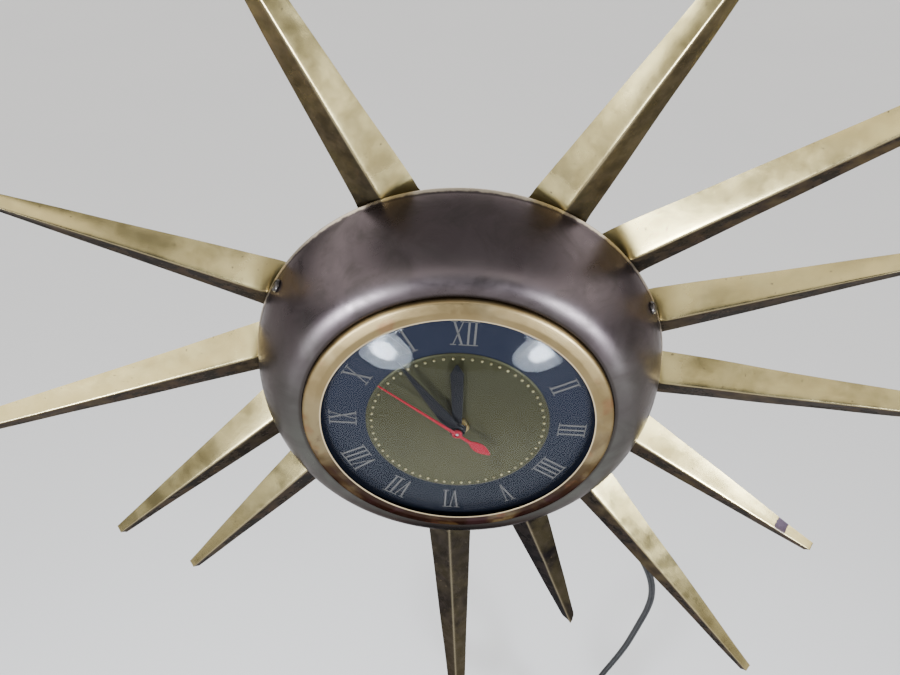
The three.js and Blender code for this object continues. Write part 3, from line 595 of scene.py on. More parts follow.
def bezel_gold():
    """Coppery lacquer with creamy patches, brushed round, with painted purple-brown shade low down and a
    painted highlight at its inner edge.
    """
    s = Shader("bezel")
    z = s.axes()[2]
    # Painted shade: the bezel darkens almost to black towards the bottom, tinted purple in patches, and
    # the gloss tint further down dims its reflection there too.
    low = s.steps(s.uneven(z, 30, 0.03), 0.05, -0.035)
    base = s.mix(low, (0.235, 0.172, 0.082), (0.034, 0.022, 0.018))
    cream = s.steps(s.noise(26, 4, 0.5, 0.6), 0.45, 0.7)
    base = s.tint(base, cream, 0.5, (0.31, 0.25, 0.14))
    purple = s.math("MULTIPLY", s.steps(s.noise(18, 5, 0.6, 1.0), 0.5, 0.66), low)
    base = s.tint(base, purple, 0.7, (0.05, 0.03, 0.033))
    red = s.steps(s.noise(14, 4, 0.5), 0.58, 0.72)
    base = s.tint(base, red, 0.5, (0.20, 0.085, 0.045))
    radius = s.radius()
    # Painted highlight: a thin pale ring along the inner edge by the glass.
    inner = s.steps(radius, GLASS_RADIUS + 1.1, GLASS_RADIUS + 0.4)
    base = s.mix(inner, base, (0.62, 0.50, 0.31))
    roughness = s.steps(s.noise(9, 5, 0.6), 0.3, 0.7, 0.3, 0.42)
    relief = s.bump(s.rings(radius, 5, 4), 0.02)
    edge_gloss = s.mix(low, (0.7, 0.6, 0.5), (0.3, 0.25, 0.22))
    return s.finish(base, roughness, 1.0, relief, specular_tint=edge_gloss)


def clear_glass():
    """Clear glass with a faint gloss, which is stronger where it is seen at a slant."""
    s = Shader("crystal")
    clear = s.node("ShaderNodeBsdfTransparent")
    clear.inputs["Color"].default_value = (0.985, 0.993, 1, 1)
    gloss = s.node("ShaderNodeBsdfGlossy")
    gloss.inputs["Color"].default_value = (0.13, 0.135, 0.14, 1)
    s.feed(s.steps(s.noise(25, 4, 0.6), 0.4, 0.8, 0.05, 0.11), gloss.inputs["Roughness"])
    facing = s.node("ShaderNodeLayerWeight").outputs["Facing"]
    share = s.math("MULTIPLY_ADD", s.math("POWER", facing, 5.0), 0.12)
    share.node.inputs[2].default_value = 0.06
    both = s.node("ShaderNodeMixShader")
    s.feed(share, both.inputs[0])
    s.feed(clear.outputs[0], both.inputs[1])
    s.feed(gloss.outputs[0], both.inputs[2])
    s.feed(both.outputs[0], s.output.inputs["Surface"])
    return s.material


def dial_blue():
    """Slate blue satin paint with faint dust and rubs, and painted shade that darkens it low on the
    dial.
    """
    s = Shader("dial_blue")
    z = s.axes()[2]
    # Painted shadow: the dial darkens towards the bottom, where the bezel and glass shade it.
    low = s.steps(s.uneven(z, 35, 0.03), 0.06, -0.055)
    base = s.mix(low, (0.0125, 0.0145, 0.0245), (0.0065, 0.0078, 0.0125))
    dust = s.steps(s.noise(12, 6, 0.7, 0.8), 0.55, 0.8)
    base = s.tint(base, dust, 0.3, (0.020, 0.022, 0.030))
    roughness = s.steps(s.noise(9, 5, 0.6), 0.3, 0.7, 0.38, 0.52)
    relief = s.bump(s.noise(3, 2, 0.5), 0.0006)
    return s.finish(base, roughness, 0.1, relief, specular_ior_level=0.1)


def dial_gold():
    """Olive gold with fine concentric brushing."""
    s = Shader("dial_gold")
    z = s.axes()[2]
    shade = s.steps(s.uneven(z, 30, 0.02), 0.045, -0.04)
    base = s.mix(shade, (0.037, 0.035, 0.0165), (0.066, 0.060, 0.027))
    stain = s.steps(s.noise(10, 6, 0.65, 1.0), 0.5, 0.75)
    base = s.tint(base, stain, 0.25, (0.026, 0.0235, 0.011))
    roughness = s.steps(s.noise(8, 5, 0.6), 0.3, 0.7, 0.42, 0.54)
    relief = s.bump(s.rings(s.radius(), 9), 0.002)
    return s.finish(base, roughness, 0.6, relief, specular_ior_level=0.2)


def plain_metal(name, light, dark, roughness, metallic=1.0, size=6):
    """A metal with cloudy colour, uneven gloss and fine scratches."""
    s = Shader(name)
    clouds = s.steps(s.noise(size, 5, 0.6, 0.4), 0.35, 0.7)
    base = s.mix(clouds, light, dark)
    gloss = s.steps(s.noise(size * 0.6, 5, 0.6), 0.3, 0.7, roughness - 0.06, roughness + 0.08)
    relief = s.bump(s.noise(0.8, 4, 0.7), 0.008)
    return s.finish(base, gloss, metallic, relief)


def paint(name, base, worn, roughness, coat=0.25):
    """Brushed-on enamel with faint rubbed places and orange peel."""
    s = Shader(name)
    rub = s.steps(s.noise(5, 5, 0.65), 0.55, 0.8)
    tone = s.tint(base, rub, 0.5, worn)
    gloss = s.steps(s.noise(3, 4), 0.3, 0.7, roughness - 0.05, roughness + 0.08)
    relief = s.bump(s.noise(0.9, 2), 0.0008)
    return s.finish(tone, gloss, 0, relief, coat_weight=coat, specular_ior_level=0.15)


def moulded(name, base, roughness, grain=0.5, depth=0.012):
    """Moulded plastic or rubber, with a fine grain and some dust."""
    s = Shader(name)
    dust = s.steps(s.noise(9, 6, 0.7), 0.5, 0.8)
    grey = tuple(0.5 * c + 0.02 for c in base)
    tone = s.tint(base, dust, 0.35, grey)
    gloss = s.steps(s.noise(4, 4), 0.3, 0.7, roughness - 0.06, roughness + 0.1)
    relief = s.bump(s.noise(grain, 2), depth)
    return s.finish(tone, gloss, 0, relief, specular_ior_level=0.3)


def taped_winding():
    """Varnished cloth tape, wound in overlapping turns round the coil."""
    s = Shader("coil_wrap")
    x, _, z = s.axes()
    turns = s.math("FRACT", s.math("MULTIPLY", s.math("ADD", x, s.math("MULTIPLY", z, 0.12)), 160))
    threads = [s.math("SINE", s.math("MULTIPLY", place, 9000)) for place in (z, x)]
    weave = s.math("MULTIPLY", *threads)
    tone = s.mix(s.noise(5, 5), (0.30, 0.075, 0.04), (0.42, 0.13, 0.07))
    tone = s.mix(s.steps(turns, 0.9, 1.0), tone, (0.08, 0.025, 0.015))
    relief = s.bump(turns, 0.15)
    return s.finish(tone, 0.4, 0, s.bump(weave, 0.03, relief), coat_weight=0.3)


def laminated():
    """Stacked core stampings: fine lines across the stack, dull and varnished."""
    s = Shader("core_steel")
    y = s.axes()[1]
    lines = s.math("SINE", s.math("MULTIPLY", y, TURN / 0.0006))
    tone = s.mix(s.noise(7, 5), (0.13, 0.12, 0.115), (0.24, 0.23, 0.22))
    return s.finish(tone, s.steps(s.noise(5), 0.3, 0.7, 0.45, 0.6), 0.7, s.bump(lines, 0.03))


def matt_floor():
    """Pale matt paint."""
    s = Shader("floor")
    tone = s.mix(s.noise(400, 4), (0.72, 0.72, 0.73), (0.76, 0.76, 0.76))
    return s.finish(tone, 0.8)


# ------------------------------------------------------------------ rays

def smooth(t):
    t = min(1.0, max(0.0, t))
    return t * t * (3 - 2 * t)


def ray_rows(length):
    """(stage, distance, share of the ridge height) for each row from the root to the tip.

    In the curl the distance is counted from the root circle, and after it from the ray's bend.
    """
    rows = []
    for k in range(11):
        angle = math.radians(5 + 85 * k / 10)
        rows.append(("curl", 1 - math.cos(angle), math.sin(angle)))
    count = 44
    start, stop = RAY_CURL_END, length - 1.0
    for k in range(1, count):
        rows.append(("run", start + (stop - start) * k / (count - 1), 1.0))
    for k in range(1, 5):
        angle = math.radians(90 * k / 4)
        rows.append(("run", stop + 0.9 * math.sin(angle), 1 - 0.30 * (1 - math.cos(angle))))
    rows.append(("run", length, 0.45))
    rows.append(("run", length, 0.12))
    return rows


def root_start(origin, along_axis, across_axis, v):
    """How far along a column begins, so that the sheet's end follows the root circle."""
    low, high = -20.0, 8.0
    for _ in range(24):
        middle = (low + high) / 2
        place = origin + along_axis * middle + across_axis * (v * RAY_ROOT_HALF_WIDTH)
        if place.length < RAY_ROOT_CIRCLE:
            low = middle
        else:
            high = middle
    return high


def ray_columns():
    """Shares of the half-width, closer together at the ridge."""
    side = [0.04, 0.09, 0.16, 0.3, 0.5, 0.7, 0.86, 0.95, 1.0]
    return [-v for v in reversed(side)] + [0.0] + side


def make_ray(name, station, slip, tip, lean, rake, shade_share, finish):
    """A sheet folded along a ridge, with its root curled down under the rim and its tip closed."""
    root = station * STATION_STEP + slip
    heading = math.radians(root + lean)
    along_axis = Vector((math.cos(heading), 0, math.sin(heading)))
    across_axis = Vector((-math.sin(heading), 0, math.cos(heading)))
    x, z = polar(RAY_ROOT_RADIUS, root)
    origin = Vector((x, 0, z))
    length = tip - RAY_ROOT_RADIUS
    seed = station * 7.3
    columns = ray_columns()
    starts = [root_start(origin, along_axis, across_axis, v) for v in columns]
    rows = ray_rows(length)
    blunt = name == "ray_south_south_east"
    points, marks = [], []
    for stage, distance, rise in rows:
        for v, first in zip(columns, starts):
            along = first + distance * (RAY_CURL_END - first) if stage == "curl" else distance
            share = along / length
            half = RAY_ROOT_HALF_WIDTH + (RAY_TIP_HALF_WIDTH - RAY_ROOT_HALF_WIDTH) * share
            height = RAY_ROOT_HEIGHT + (RAY_TIP_HEIGHT - RAY_ROOT_HEIGHT) * share
            level = RAY_ROOT_BACK - rake * along
            if blunt:
                half *= 1 - 0.55 * smooth((share - 0.955) / 0.045)
            root_share = 1 - smooth((along - first) / 8)
            level -= RAY_EDGE_LIFT * smooth((abs(v) - 0.4) / 0.6) * root_share
            edge = noise.noise(Vector((along * 0.03, seed, 1.5 if v > 0 else -1.5)))
            wave = noise.noise(Vector((along * 0.022, v * 1.2, seed + 9)))
            across = v * half + 0.3 * edge * abs(v)
            ridge = math.sqrt(v * v + 0.0016) - 0.04
            hollow = 0.12 * math.sin(math.pi * abs(v))
            up = (height * (1 - ridge) - hollow) * rise + 0.28 * wave * rise
            if blunt:
                up -= 1.2 * math.exp(-(((along - 0.52 * length) / 9) ** 2)) * (1 - abs(v)) * rise
            forward = Vector((0, level - up, 0))
            points.append(origin + along_axis * along + across_axis * across + forward)
            # Painted shade marks: under for facets that face down, and curl for a thin dark line where
            # the root dives under the rim.
            facing_up = math.copysign(1, v) * math.cos(heading) if v else 0
            under = smooth(0.5 - 0.9 * facing_up)
            curl = 1 - smooth((along - first - 0.6) / 1.4)
            fold = math.exp(-((v * half / 0.55) ** 2)) * smooth(along / 12)
            patch = 0.0
            if name == "ray_east_south_east":
                patch = math.exp(-(((length - along - 23) / 5.5) ** 2)) * (1 if v > 0 else 0.3)
            marks.append((max(under, 0.7 * curl), fold, patch, shade_share))
    wide = len(columns)
    faces = []
    for r in range(len(rows) - 1):
        for c in range(wide - 1):
            a = r * wide + c
            faces.append((a, a + 1, a + 1 + wide, a + wide))
    piece = new_piece(name + "_sheet", points, faces, slot="ray_brass", stands_for=(name,), sharp=50)
    mesh = piece.data
    for index, label in enumerate(("under", "fold", "worn", "ray_shade")):
        layer = mesh.attributes.new(label, "FLOAT", "POINT")
        layer.data.foreach_set("value", [mark[index] for mark in marks])
    face_forward(mesh)
    thick = piece.modifiers.new("sheet", "SOLIDIFY")
    thick.thickness = SHEET * MM
    thick.offset = -1
    thick.use_even_offset = True
    applied(piece)
    tab = box_shape((-19, TAB_LEVELS[0], -6), (1.3, TAB_LEVELS[1], 6))
    turn = Matrix.Translation(origin) @ Matrix.Rotation(-heading, 4, "Y")
    new_piece(name + "_tab", *moved(tab, turn), finish, slot="ray_brass", sharp=30)
    piece.data.materials.append(finish)
    soften(piece, 50)


def face_forward(mesh):
    """Makes an open sheet's faces point at the viewer's side, -y."""
    with reshaped(mesh) as shaped:
        if sum(face.normal.y * face.calc_area() for face in shaped.faces) > 0:
            bmesh.ops.reverse_faces(shaped, faces=shaped.faces)


# ------------------------------------------------------------------ case

def dome_curve(inset):
    """The dome's section from the rim forwards, as (radius, level)."""
    count = 44
    rise = DOME_REAR - DOME_FRONT
    swell_width = RIM_RADIUS - 4 - DOME_FRONT_RADIUS
    points = []
    for i in range(count + 1):
        angle = i / count * math.pi / 2
        spread = max(0.0, math.cos(angle)) ** DOME_SHOULDER
        radius = DOME_FRONT_RADIUS + (RIM_RADIUS - DOME_FRONT_RADIUS) * spread
        level = DOME_REAR - rise * math.sin(angle) ** DOME_RISE
        swell = min(1.0, max(0.0, (radius - DOME_FRONT_RADIUS) / swell_width))
        level -= DOME_SWELL * math.sin(math.pi * swell) ** 2
        points.append((radius - inset * (math.cos(angle) + 0.4), level + inset * math.sin(angle)))
    return points


def make_dome(finish):
    outer = dome_curve(0)
    inner = list(reversed(dome_curve(SHEET)[1:-1]))
    bead_centre = (RIM_RADIUS - 0.15, DOME_REAR - 0.1)
    bead = []
    for k in range(12):
        angle = math.radians(190 - 210 * k / 11)
        bead.append((bead_centre[0] + 1.0 * math.cos(angle), bead_centre[1] + 1.0 * math.sin(angle)))
    collar = DOME_FRONT_RADIUS - 0.7
    seat = [(collar + 0.2, DOME_FRONT + 0.1), (collar, DOME_FRONT + 0.4), (collar, SEAT)]
    seat += [(DOME_BORE, SEAT), (DOME_BORE, SEAT + 0.9), (collar - 0.2, SEAT + 0.9)]
    profile = bead + outer[3:] + seat + inner
    names = {"slot": "bronze_case", "stands_for": ("dome_case",)}
    turned_piece("dome_shell", profile, 256, finish=finish, sharp=40, **names)


def make_bezel(finish):
    outside = reach("bezel")
    profile = [
        (GLASS_RADIUS, -67.1),
        (GLASS_RADIUS + 4, -67.05),
        (74.0, -66.1),
        (75.0, -65.5),
        (outside, -64.6),
        (outside, SEAT - 0.3),
        (outside - 0.7, SEAT - 0.3),
        (outside - 0.7, -64.7),
        (73.6, -65.3),
        (GLASS_RADIUS + 0.5, -66.3),
    ]
    turned_piece("bezel_band", profile, 224, 0.5, finish=finish, slot="bezel", stands_for=("bezel",))


def cap_curve(rim_radius, rim, top, count):
    """Half of a spherical cap's section, from its rim to the axis."""
    height = rim - top
    sphere = (rim_radius**2 + height**2) / (2 * height)
    spread = math.asin(rim_radius / sphere)
    points = []
    for i in range(count + 1):
        angle = spread * (1 - i / count)
        radius = 0 if i == count else sphere * math.sin(angle)
        points.append((radius, top + sphere * (1 - math.cos(angle))))
    return points


def make_crystal(finish):
    top, outside = front("crystal"), reach("crystal")
    outer = list(reversed(cap_curve(GLASS_RADIUS + 0.3, GLASS_SEAT, top, 28)))
    inner = cap_curve(GLASS_RADIUS - 1.8, GLASS_SEAT + 1.3, top + 1.6, 28)
    profile = outer + [(outside, GLASS_SEAT), (outside, GLASS_SEAT + 1.3)] + inner
    names = {"slot": "crystal", "stands_for": ("crystal",)}
    turned_piece("crystal_dome", profile, 192, finish=finish, sharp=60, **names)


def on_dome(shape, angle):
    """Carries a screw that points along +x to its place on the dome."""
    matrix = (
        Matrix.Rotation(-math.radians(angle), 4, "Y")
        @ Matrix.Translation((CASE_SCREW_SEAT, CASE_SCREW_LEVEL, 0))
        @ Matrix.Rotation(-math.radians(CASE_SCREW_TILT), 4, "Z")
    )
    return moved(shape, matrix)


def make_case_screws(finish):
    head = [(0, 1.95), (1.4, 1.85), (2.4, 1.5), (3.0, 0.9), (3.25, 0.3), (3.25, 0), (1.4, 0)]
    shank = [(1.4, -6.2), (1.1, -6.6), (0, -6.6)]
    lying = Matrix.Rotation(-math.pi / 2, 4, "Z")
    for i, angle in enumerate(CASE_SCREW_ANGLES):
        name = f"case_screw_{i + 1}"
        screw = moved(revolve(head + shank, 40), lying)
        piece = new_piece(
            name + "_pan_head", *on_dome(screw, angle), slot="steel", stands_for=(name,), sharp=30
        )
        boolean(piece, on_dome(box_shape((1.0, -0.35, -4), (3, 0.35, 4)), angle), "DIFFERENCE")
        piece.data.materials.append(finish)
        soften(piece, 30)


def make_rear_pan(finish):
    """The pan, with the pocket for the knob, the keyhole and the way out for the cord."""
    profile = [
        (0, 0),
        (PAN_FACE_RADIUS, 0),
        (PAN_FACE_RADIUS + 4, -PAN_DEPTH),
        (PAN_FLANGE_RADIUS, -PAN_DEPTH),
        (PAN_FLANGE_RADIUS, -PAN_DEPTH - PAN_SHEET),
        (PAN_FACE_RADIUS + 3, -PAN_DEPTH - PAN_SHEET),
        (PAN_FACE_RADIUS - 0.9, -PAN_SHEET),
        (0, -PAN_SHEET),
    ]
    inside = rounded(profile, 1.2)[4:-4]
    outline = [(0, 0), *inside, (0, -PAN_SHEET)]
    piece = turned_piece("rear_pan_shell", outline, 160, slot="pan_steel", stands_for=("rear_pan",))
    x, z = KNOB_AXIS
    deep, wall = KNOB_POCKET_DEPTH, KNOB_POCKET_WALL
    slot_top = KEYHOLE_HEIGHT + 10.5
    boolean(piece, bar(KNOB_POCKET_RADIUS + wall, (-deep - wall, -0.3), 64, x, z), "UNION")
    openings = [
        bar(KNOB_POCKET_RADIUS, (-deep, 1), 64, x, z),
        bar(2, (-deep - 4, 1), 24, x, z),
        bar(5, (-3, 1), 40, 0, KEYHOLE_HEIGHT),
        box_shape((-2.5, -3, KEYHOLE_HEIGHT), (2.5, 1, slot_top)),
        bar(2.5, (-3, 1), 32, 0, slot_top),
        moved(bar(3.4, (-6, 6), 32), cord_exit_place(83)),
    ]
    for opening in openings:
        boolean(piece, opening, "DIFFERENCE")
    piece.data.materials.clear()
    piece.data.materials.append(finish)
    soften(piece, 30)


def make_ray_ring(finish):
    """An angle ring: a flat flange in front of the rays' tabs, and a band inside the dome."""
    rear, near = RING_LEVELS
    profile = [
        (RING_BORE, rear),
        (RING_RADIUS, rear),
        (RING_RADIUS, near),
        (RING_RADIUS - RING_SHEET, near),
        (RING_RADIUS - RING_SHEET, rear - RING_SHEET),
        (RING_BORE, rear - RING_SHEET),
    ]
    names = {"slot": "pan_steel", "stands_for": ("ray_ring",)}
    turned_piece("ray_ring_band", profile, 160, 0.4, finish=finish, **names)


# ------------------------------------------------------------------ dial

NUMERALS = ["XII", "I", "II", "III", "IIII", "V", "VI", "VII", "VIII", "IX", "X", "XI"]
THICK = 0.95
THIN = 0.45
LETTER_WIDTHS = {"I": 3.0, "V": 6.2, "X": 6.4}


def stroke(start, end, width):
    """A straight bar between two points of a numeral, as four corners."""
    a, b = Vector(start), Vector(end)
    side = Vector((a.y - b.y, b.x - a.x)).normalized() * (width / 2)
    return [a - side, b - side, b + side, a + side]


def letter_strokes(letter, left):
    """The strokes of one letter whose cell starts at left. The feet are at -half height."""
    top, foot = NUMERAL_HEIGHT / 2, -NUMERAL_HEIGHT / 2
    width = LETTER_WIDTHS[letter]
    middle = left + width / 2
    if letter == "I":
        return [
            stroke((middle, foot), (middle, top), THICK),
            stroke((middle - 1.5, foot), (middle + 1.5, foot), THIN),
            stroke((middle - 1.5, top), (middle + 1.5, top), THIN),
        ]
    inset = 1.2
    if letter == "V":
        return [
            stroke((left + inset, top), (middle, foot), THICK),
            stroke((left + width - inset, top), (middle, foot), THIN),
            stroke((left - 0.2, top), (left + 2.6, top), THIN),
            stroke((left + width - 2.4, top), (left + width, top), THIN),
        ]
    strokes = [
        stroke((left + inset, top), (left + width - inset, foot), THICK),
        stroke((left + width - inset, top), (left + inset, foot), THIN),
    ]
    for level in (top, foot):
        strokes.append(stroke((left - 0.1, level), (left + 2.6, level), THIN))
        strokes.append(stroke((left + width - 2.6, level), (left + width + 0.1, level), THIN))
    return strokes


def make_numerals(finish):
    """Generic Roman numerals in thin raised paint, their feet towards the centre."""
    near, far = DIAL_FACE - 0.14, DIAL_FACE + 0.05
    points, faces = [], []
    for hour, text in enumerate(NUMERALS):
        turn = Matrix.Rotation(-math.radians(30 * hour), 2)
        left = -sum(LETTER_WIDTHS[letter] for letter in text) / 2
        for letter in text:
            for corners in letter_strokes(letter, left):
                start = len(points)
                for level in (near, far):
                    for corner in corners:
                        flat = turn @ (corner + Vector((0, NUMERAL_CIRCLE)))
                        points.append((flat.x, level, flat.y))
                sides = [(0, 1, 2, 3), (7, 6, 5, 4)]
                sides += [(i, i + 4, (i + 1) % 4 + 4, (i + 1) % 4) for i in range(4)]
                faces.extend([tuple(start + i for i in side) for side in sides])
            left += LETTER_WIDTHS[letter]
    new_piece("dial_numerals", points, faces, finish, slot="dial_gold", sharp=30)


def make_dial(blue, gold, bead_gold, numeral_paint):
    outside, rear = reach("dial_plate"), back("dial_plate")
    profile = [(DIAL_BORE, DIAL_FACE), (outside, DIAL_FACE), (outside, rear), (DIAL_BORE, rear)]
    names = {"slot": "dial_blue", "stands_for": ("dial_plate",)}
    turned_piece("dial_disc", profile, 160, 0.15, finish=blue, **names)
    make_numerals(numeral_paint)
    profile = [
        (DIAL_BORE, CENTRE_FACE),
        (CENTRE_RADIUS - 0.9, CENTRE_FACE),
        (CENTRE_RADIUS, CENTRE_FACE + 0.45),
        (CENTRE_RADIUS, back("dial_centre")),
        (DIAL_BORE, back("dial_centre")),
    ]
    names = {"slot": "dial_gold", "stands_for": ("dial_centre",)}
    turned_piece("dial_centre_disc", profile, 160, 0.12, finish=gold, **names)
    make_beads(bead_gold)


def make_beads(finish):
    """Sixty embossed beads, one for each minute."""
    cap = [(0, -0.72), (0.28, -0.67), (0.52, -0.5), (0.68, -0.28), (0.78, 0.05), (0, 0.1)]
    shapes = []
    for minute in range(60):
        x, z = polar(BEAD_CIRCLE, 90 - 6 * minute)
        shapes.append(moved(revolve(cap, 16), Matrix.Translation((x, CENTRE_FACE, z))))
    new_piece("dial_beads", *merged(*shapes), finish, slot="dial_gold", sharp=60)


def make_hands(black, red):
    """Two tapering black hands, and the red one with its spade counterweight."""
    hour = [(-2, -3.5), (2, -3.5), (3.1, 35.5), (0.45, 41), (-0.45, 41), (-3.1, 35.5)]
    level = (front("hour_hand"), back("hour_hand"))
    blade(("hour_hand", "hour_train", "black_paint"), hour, level, 4.4, HOUR_ANGLE, black)
    minute = [(-2.2, -3), (2.2, -3), (3.3, 10), (0.28, 51), (-0.28, 51), (-3.3, 10)]
    level = (front("minute_hand"), back("minute_hand"))
    blade(("minute_hand", "minute_train", "black_paint"), minute, level, 3.8, MINUTE_ANGLE, black)
    second = [(0.8, -8), (2.2, -10.6), (2.9, -13.5), (2.75, -15.6)]
    second += [(2.1, -17.6), (1.2, -19.5), (0.35, -21)]
    second += [(-x, z) for x, z in reversed(second)]
    second += [(-0.75, 4), (-0.33, 47.5), (0.33, 47.5), (0.75, 4)]
    level = (front("second_hand"), back("second_hand"))
    blade(("second_hand", "seconds_train", "red_paint"), second, level, 2.5, SECOND_ANGLE, red)


def blade(names, outline, level, boss, angle, finish):
    """A hand: a flat blade and the turned boss that it is riveted to."""
    node, body, slot = names
    near, far = level
    sheet = (near + 0.22, near + 0.62)
    made_of = {"finish": finish, "body": body, "slot": slot}
    bevelled_plate(node + "_blade", outline, sheet, 0.14, angle, stands_for=(node,), **made_of)
    bore = 0.55 * boss
    profile = [(bore, near), (boss - 0.5, near), (boss, near + 0.4), (boss, far), (bore, far)]
    turned_piece(node + "_boss", profile, 48, 0.12, **made_of)


# ------------------------------------------------------------------ cord

def spline(points, step):
    """Evenly spaced points along a smooth curve through the given ones."""
    fine = []
    padded = [points[0] * 2 - points[1], *points, points[-1] * 2 - points[-2]]
    for a, b, c, d in zip(padded, padded[1:], padded[2:], padded[3:]):
        for k in range(16):
            t = k / 16
            bend = (2 * a - 5 * b + 4 * c - d) * t**2 + (3 * b - a - 3 * c + d) * t**3
            fine.append(0.5 * (2 * b + (c - a) * t + bend))
    fine.append(points[-1])
    even, carried = [fine[0]], 0.0
    for a, b in zip(fine, fine[1:]):
        gap = (b - a).length
        while carried + gap >= step:
            a = a + (b - a).normalized() * (step - carried)
            gap = (b - a).length
            carried = 0.0
            even.append(a)
        carried += gap
    even.append(points[-1])
    return even


def coil_laps():
    """(radius, level) of each lap: inwards at the back, outwards, then one more in front."""
    spread = (COIL_SPACING, 0, -COIL_SPACING)
    laps = [(COIL_RADIUS + step, COIL_CENTRE.y + COIL_SPACING) for step in spread]
    laps += [(COIL_RADIUS + step, COIL_CENTRE.y) for step in reversed(spread)]
    laps.append((COIL_RADIUS + COIL_SPACING, COIL_CENTRE.y - COIL_SPACING))
    return laps


def coil_points():
    """The coil's turns, clockwise as the viewer sees them, from its right side to its right side.

    A later lap changes place earlier in its turn, so that no two laps meet.
    """
    laps = coil_laps()
    points = []
    per_lap, move_over = 24, 80
    for k, (radius, level) in enumerate(laps):
        next_radius, next_level = laps[min(k + 1, len(laps) - 1)]
        for i in range(per_lap):
            angle = 360 * i / per_lap
            share = smooth((angle - (250 - 40 * k)) / move_over)
            r = radius + (next_radius - radius) * share
            y = level + (next_level - level) * share
            x, z = polar(r, -angle)
            points.append(Vector((COIL_CENTRE.x + x, y, COIL_CENTRE.z + z)))
    x, z = polar(laps[-1][0], 0)
    points.append(Vector((COIL_CENTRE.x + x, laps[-1][1], COIL_CENTRE.z + z)))
    return points


def cord_points():
    """The cord from the grommet by its route and its coil to the plug."""
    x, z = polar(GROMMET_END + 0.3, CORD_EXIT_ANGLE)
    route = [Vector((x, CORD_LEVEL, z))] + [Vector(point) for point in CORD_ROUTE]
    lead = [PLUG + Vector((1.2, -1.4, 12)), PLUG + Vector((0, 0, 1.5))]
    return spline(route + coil_points() + lead, CORD_STEP)


def cord_section():
    """Two round conductors side by side: (across, through) of each point of the outline."""
    radius = CORD_THICKNESS / 2
    offset = CORD_WIDTH / 2 - radius
    limit = math.pi - math.acos(offset / radius)
    ring = []
    for side, centre in ((0, offset), (math.pi, -offset)):
        for k in range(11):
            angle = side - limit + 2 * limit * k / 10
            ring.append((centre + radius * math.cos(angle), radius * math.sin(angle)))
    return ring


def make_cord(finish):
    """The whole lead. Its flat side lies against the wall, and faces the middle of the coil."""
    path = cord_points()
    section = cord_section()
    start_z, coil_top = CORD_ROUTE[-4][2], COIL_CENTRE.z + COIL_RADIUS
    total = len(path)
    rings = []
    for i, point in enumerate(path):
        ahead = path[min(i + 1, total - 1)] - path[max(i - 1, 0)]
        ahead.normalize()
        outwards = (point - COIL_CENTRE) * Vector((1, 0, 1))
        to_coil = smooth((start_z - point.z) / (start_z - coil_top)) if i < total // 2 else 1.0
        to_coil *= smooth((total - 1 - i) * CORD_STEP / 40)
        thin = Vector((0, -1, 0)) * (1 - to_coil) + outwards.normalized() * to_coil
        thin = (thin - ahead * thin.dot(ahead)).normalized()
        wide = ahead.cross(thin)
        rings.append([point + wide * a + thin * b for a, b in section])
    names = {"slot": "cord_rubber", "stands_for": ("power_cord", "cord_coil")}
    piece = new_piece("power_cord_lead", *skin(rings), finish, sharp=70, **names)
    length = sum((b - a).length for a, b in zip(path, path[1:])) * MM
    return piece, [point * MM for point in path], length


def cord_exit_place(distance):
    """Carries a piece made along +y out along the cord's exit."""
    return (
        Matrix.Rotation(-math.radians(CORD_EXIT_ANGLE), 4, "Y")
        @ Matrix.Translation((distance, CORD_LEVEL, 0))
        @ Matrix.Rotation(-math.pi / 2, 4, "Z")
    )


def make_grommet(finish):
    """The collar inside the pan and a ribbed taper outside it."""
    profile = [(0, 76.4), (3.4, 76.4), (3.6, 76.7), (3.6, 78.4), (3.1, 78.5), (3.1, GROMMET_START)]
    profile += [(4.2, GROMMET_START), (4.4, GROMMET_START + 0.8), (4.35, GROMMET_START + 3.6)]
    ribs = 6
    start = GROMMET_START + 4
    pitch = (GROMMET_END - start) / ribs
    for k in range(ribs):
        width = 4.1 - 1.2 * k / (ribs - 1)
        level = start + k * pitch
        profile += [(width - 0.45, level + 0.2), (width - 0.45, level + pitch * 0.3)]
        profile += [(width, level + pitch * 0.4), (width - 0.1, level + pitch * 0.95)]
    profile += [(2.7, GROMMET_END), (0, GROMMET_END)]
    shape = moved(revolve(profile, 40), cord_exit_place(0))
    names = {"slot": "black_plastic", "stands_for": ("cord_grommet",)}
    new_piece("cord_grommet_sleeve", *shape, finish, sharp=40, **names)


def make_plug(finish):
    """A small moulded plug with a waist and finger ribs."""
    rings = []
    drops = [(0, 0.34, 0.5), (0.7, 0.42, 0.56), (3, 0.5, 0.62), (6.5, 0.72, 0.8), (9, 0.97, 0.96)]
    for k in range(12):
        ridge = 0.0 if k % 2 else -0.035
        drops.append((10 + k * 1.1, 1 + ridge, 1 + ridge))
    drops += [(24, 1, 1), (25.5, 0.985, 0.98), (26, 0.94, 0.92)]
    for drop, wide, deep in drops:
        ring = []
        for i in range(36):
            angle = i * TURN / 36
            x = math.copysign(abs(math.cos(angle)) ** 0.55, math.cos(angle)) * 9.9 * wide
            y = math.copysign(abs(math.sin(angle)) ** 0.7, math.sin(angle)) * 5.9 * deep
            ring.append(PLUG + Vector((x, y, -drop)))
        rings.append(ring)
    names = {"slot": "black_plastic", "stands_for": ("plug_body",)}
    return new_piece("plug_moulding", *skin(rings), finish, sharp=45, **names)


# ------------------------------------------------------------------ carried-over CAD nodes

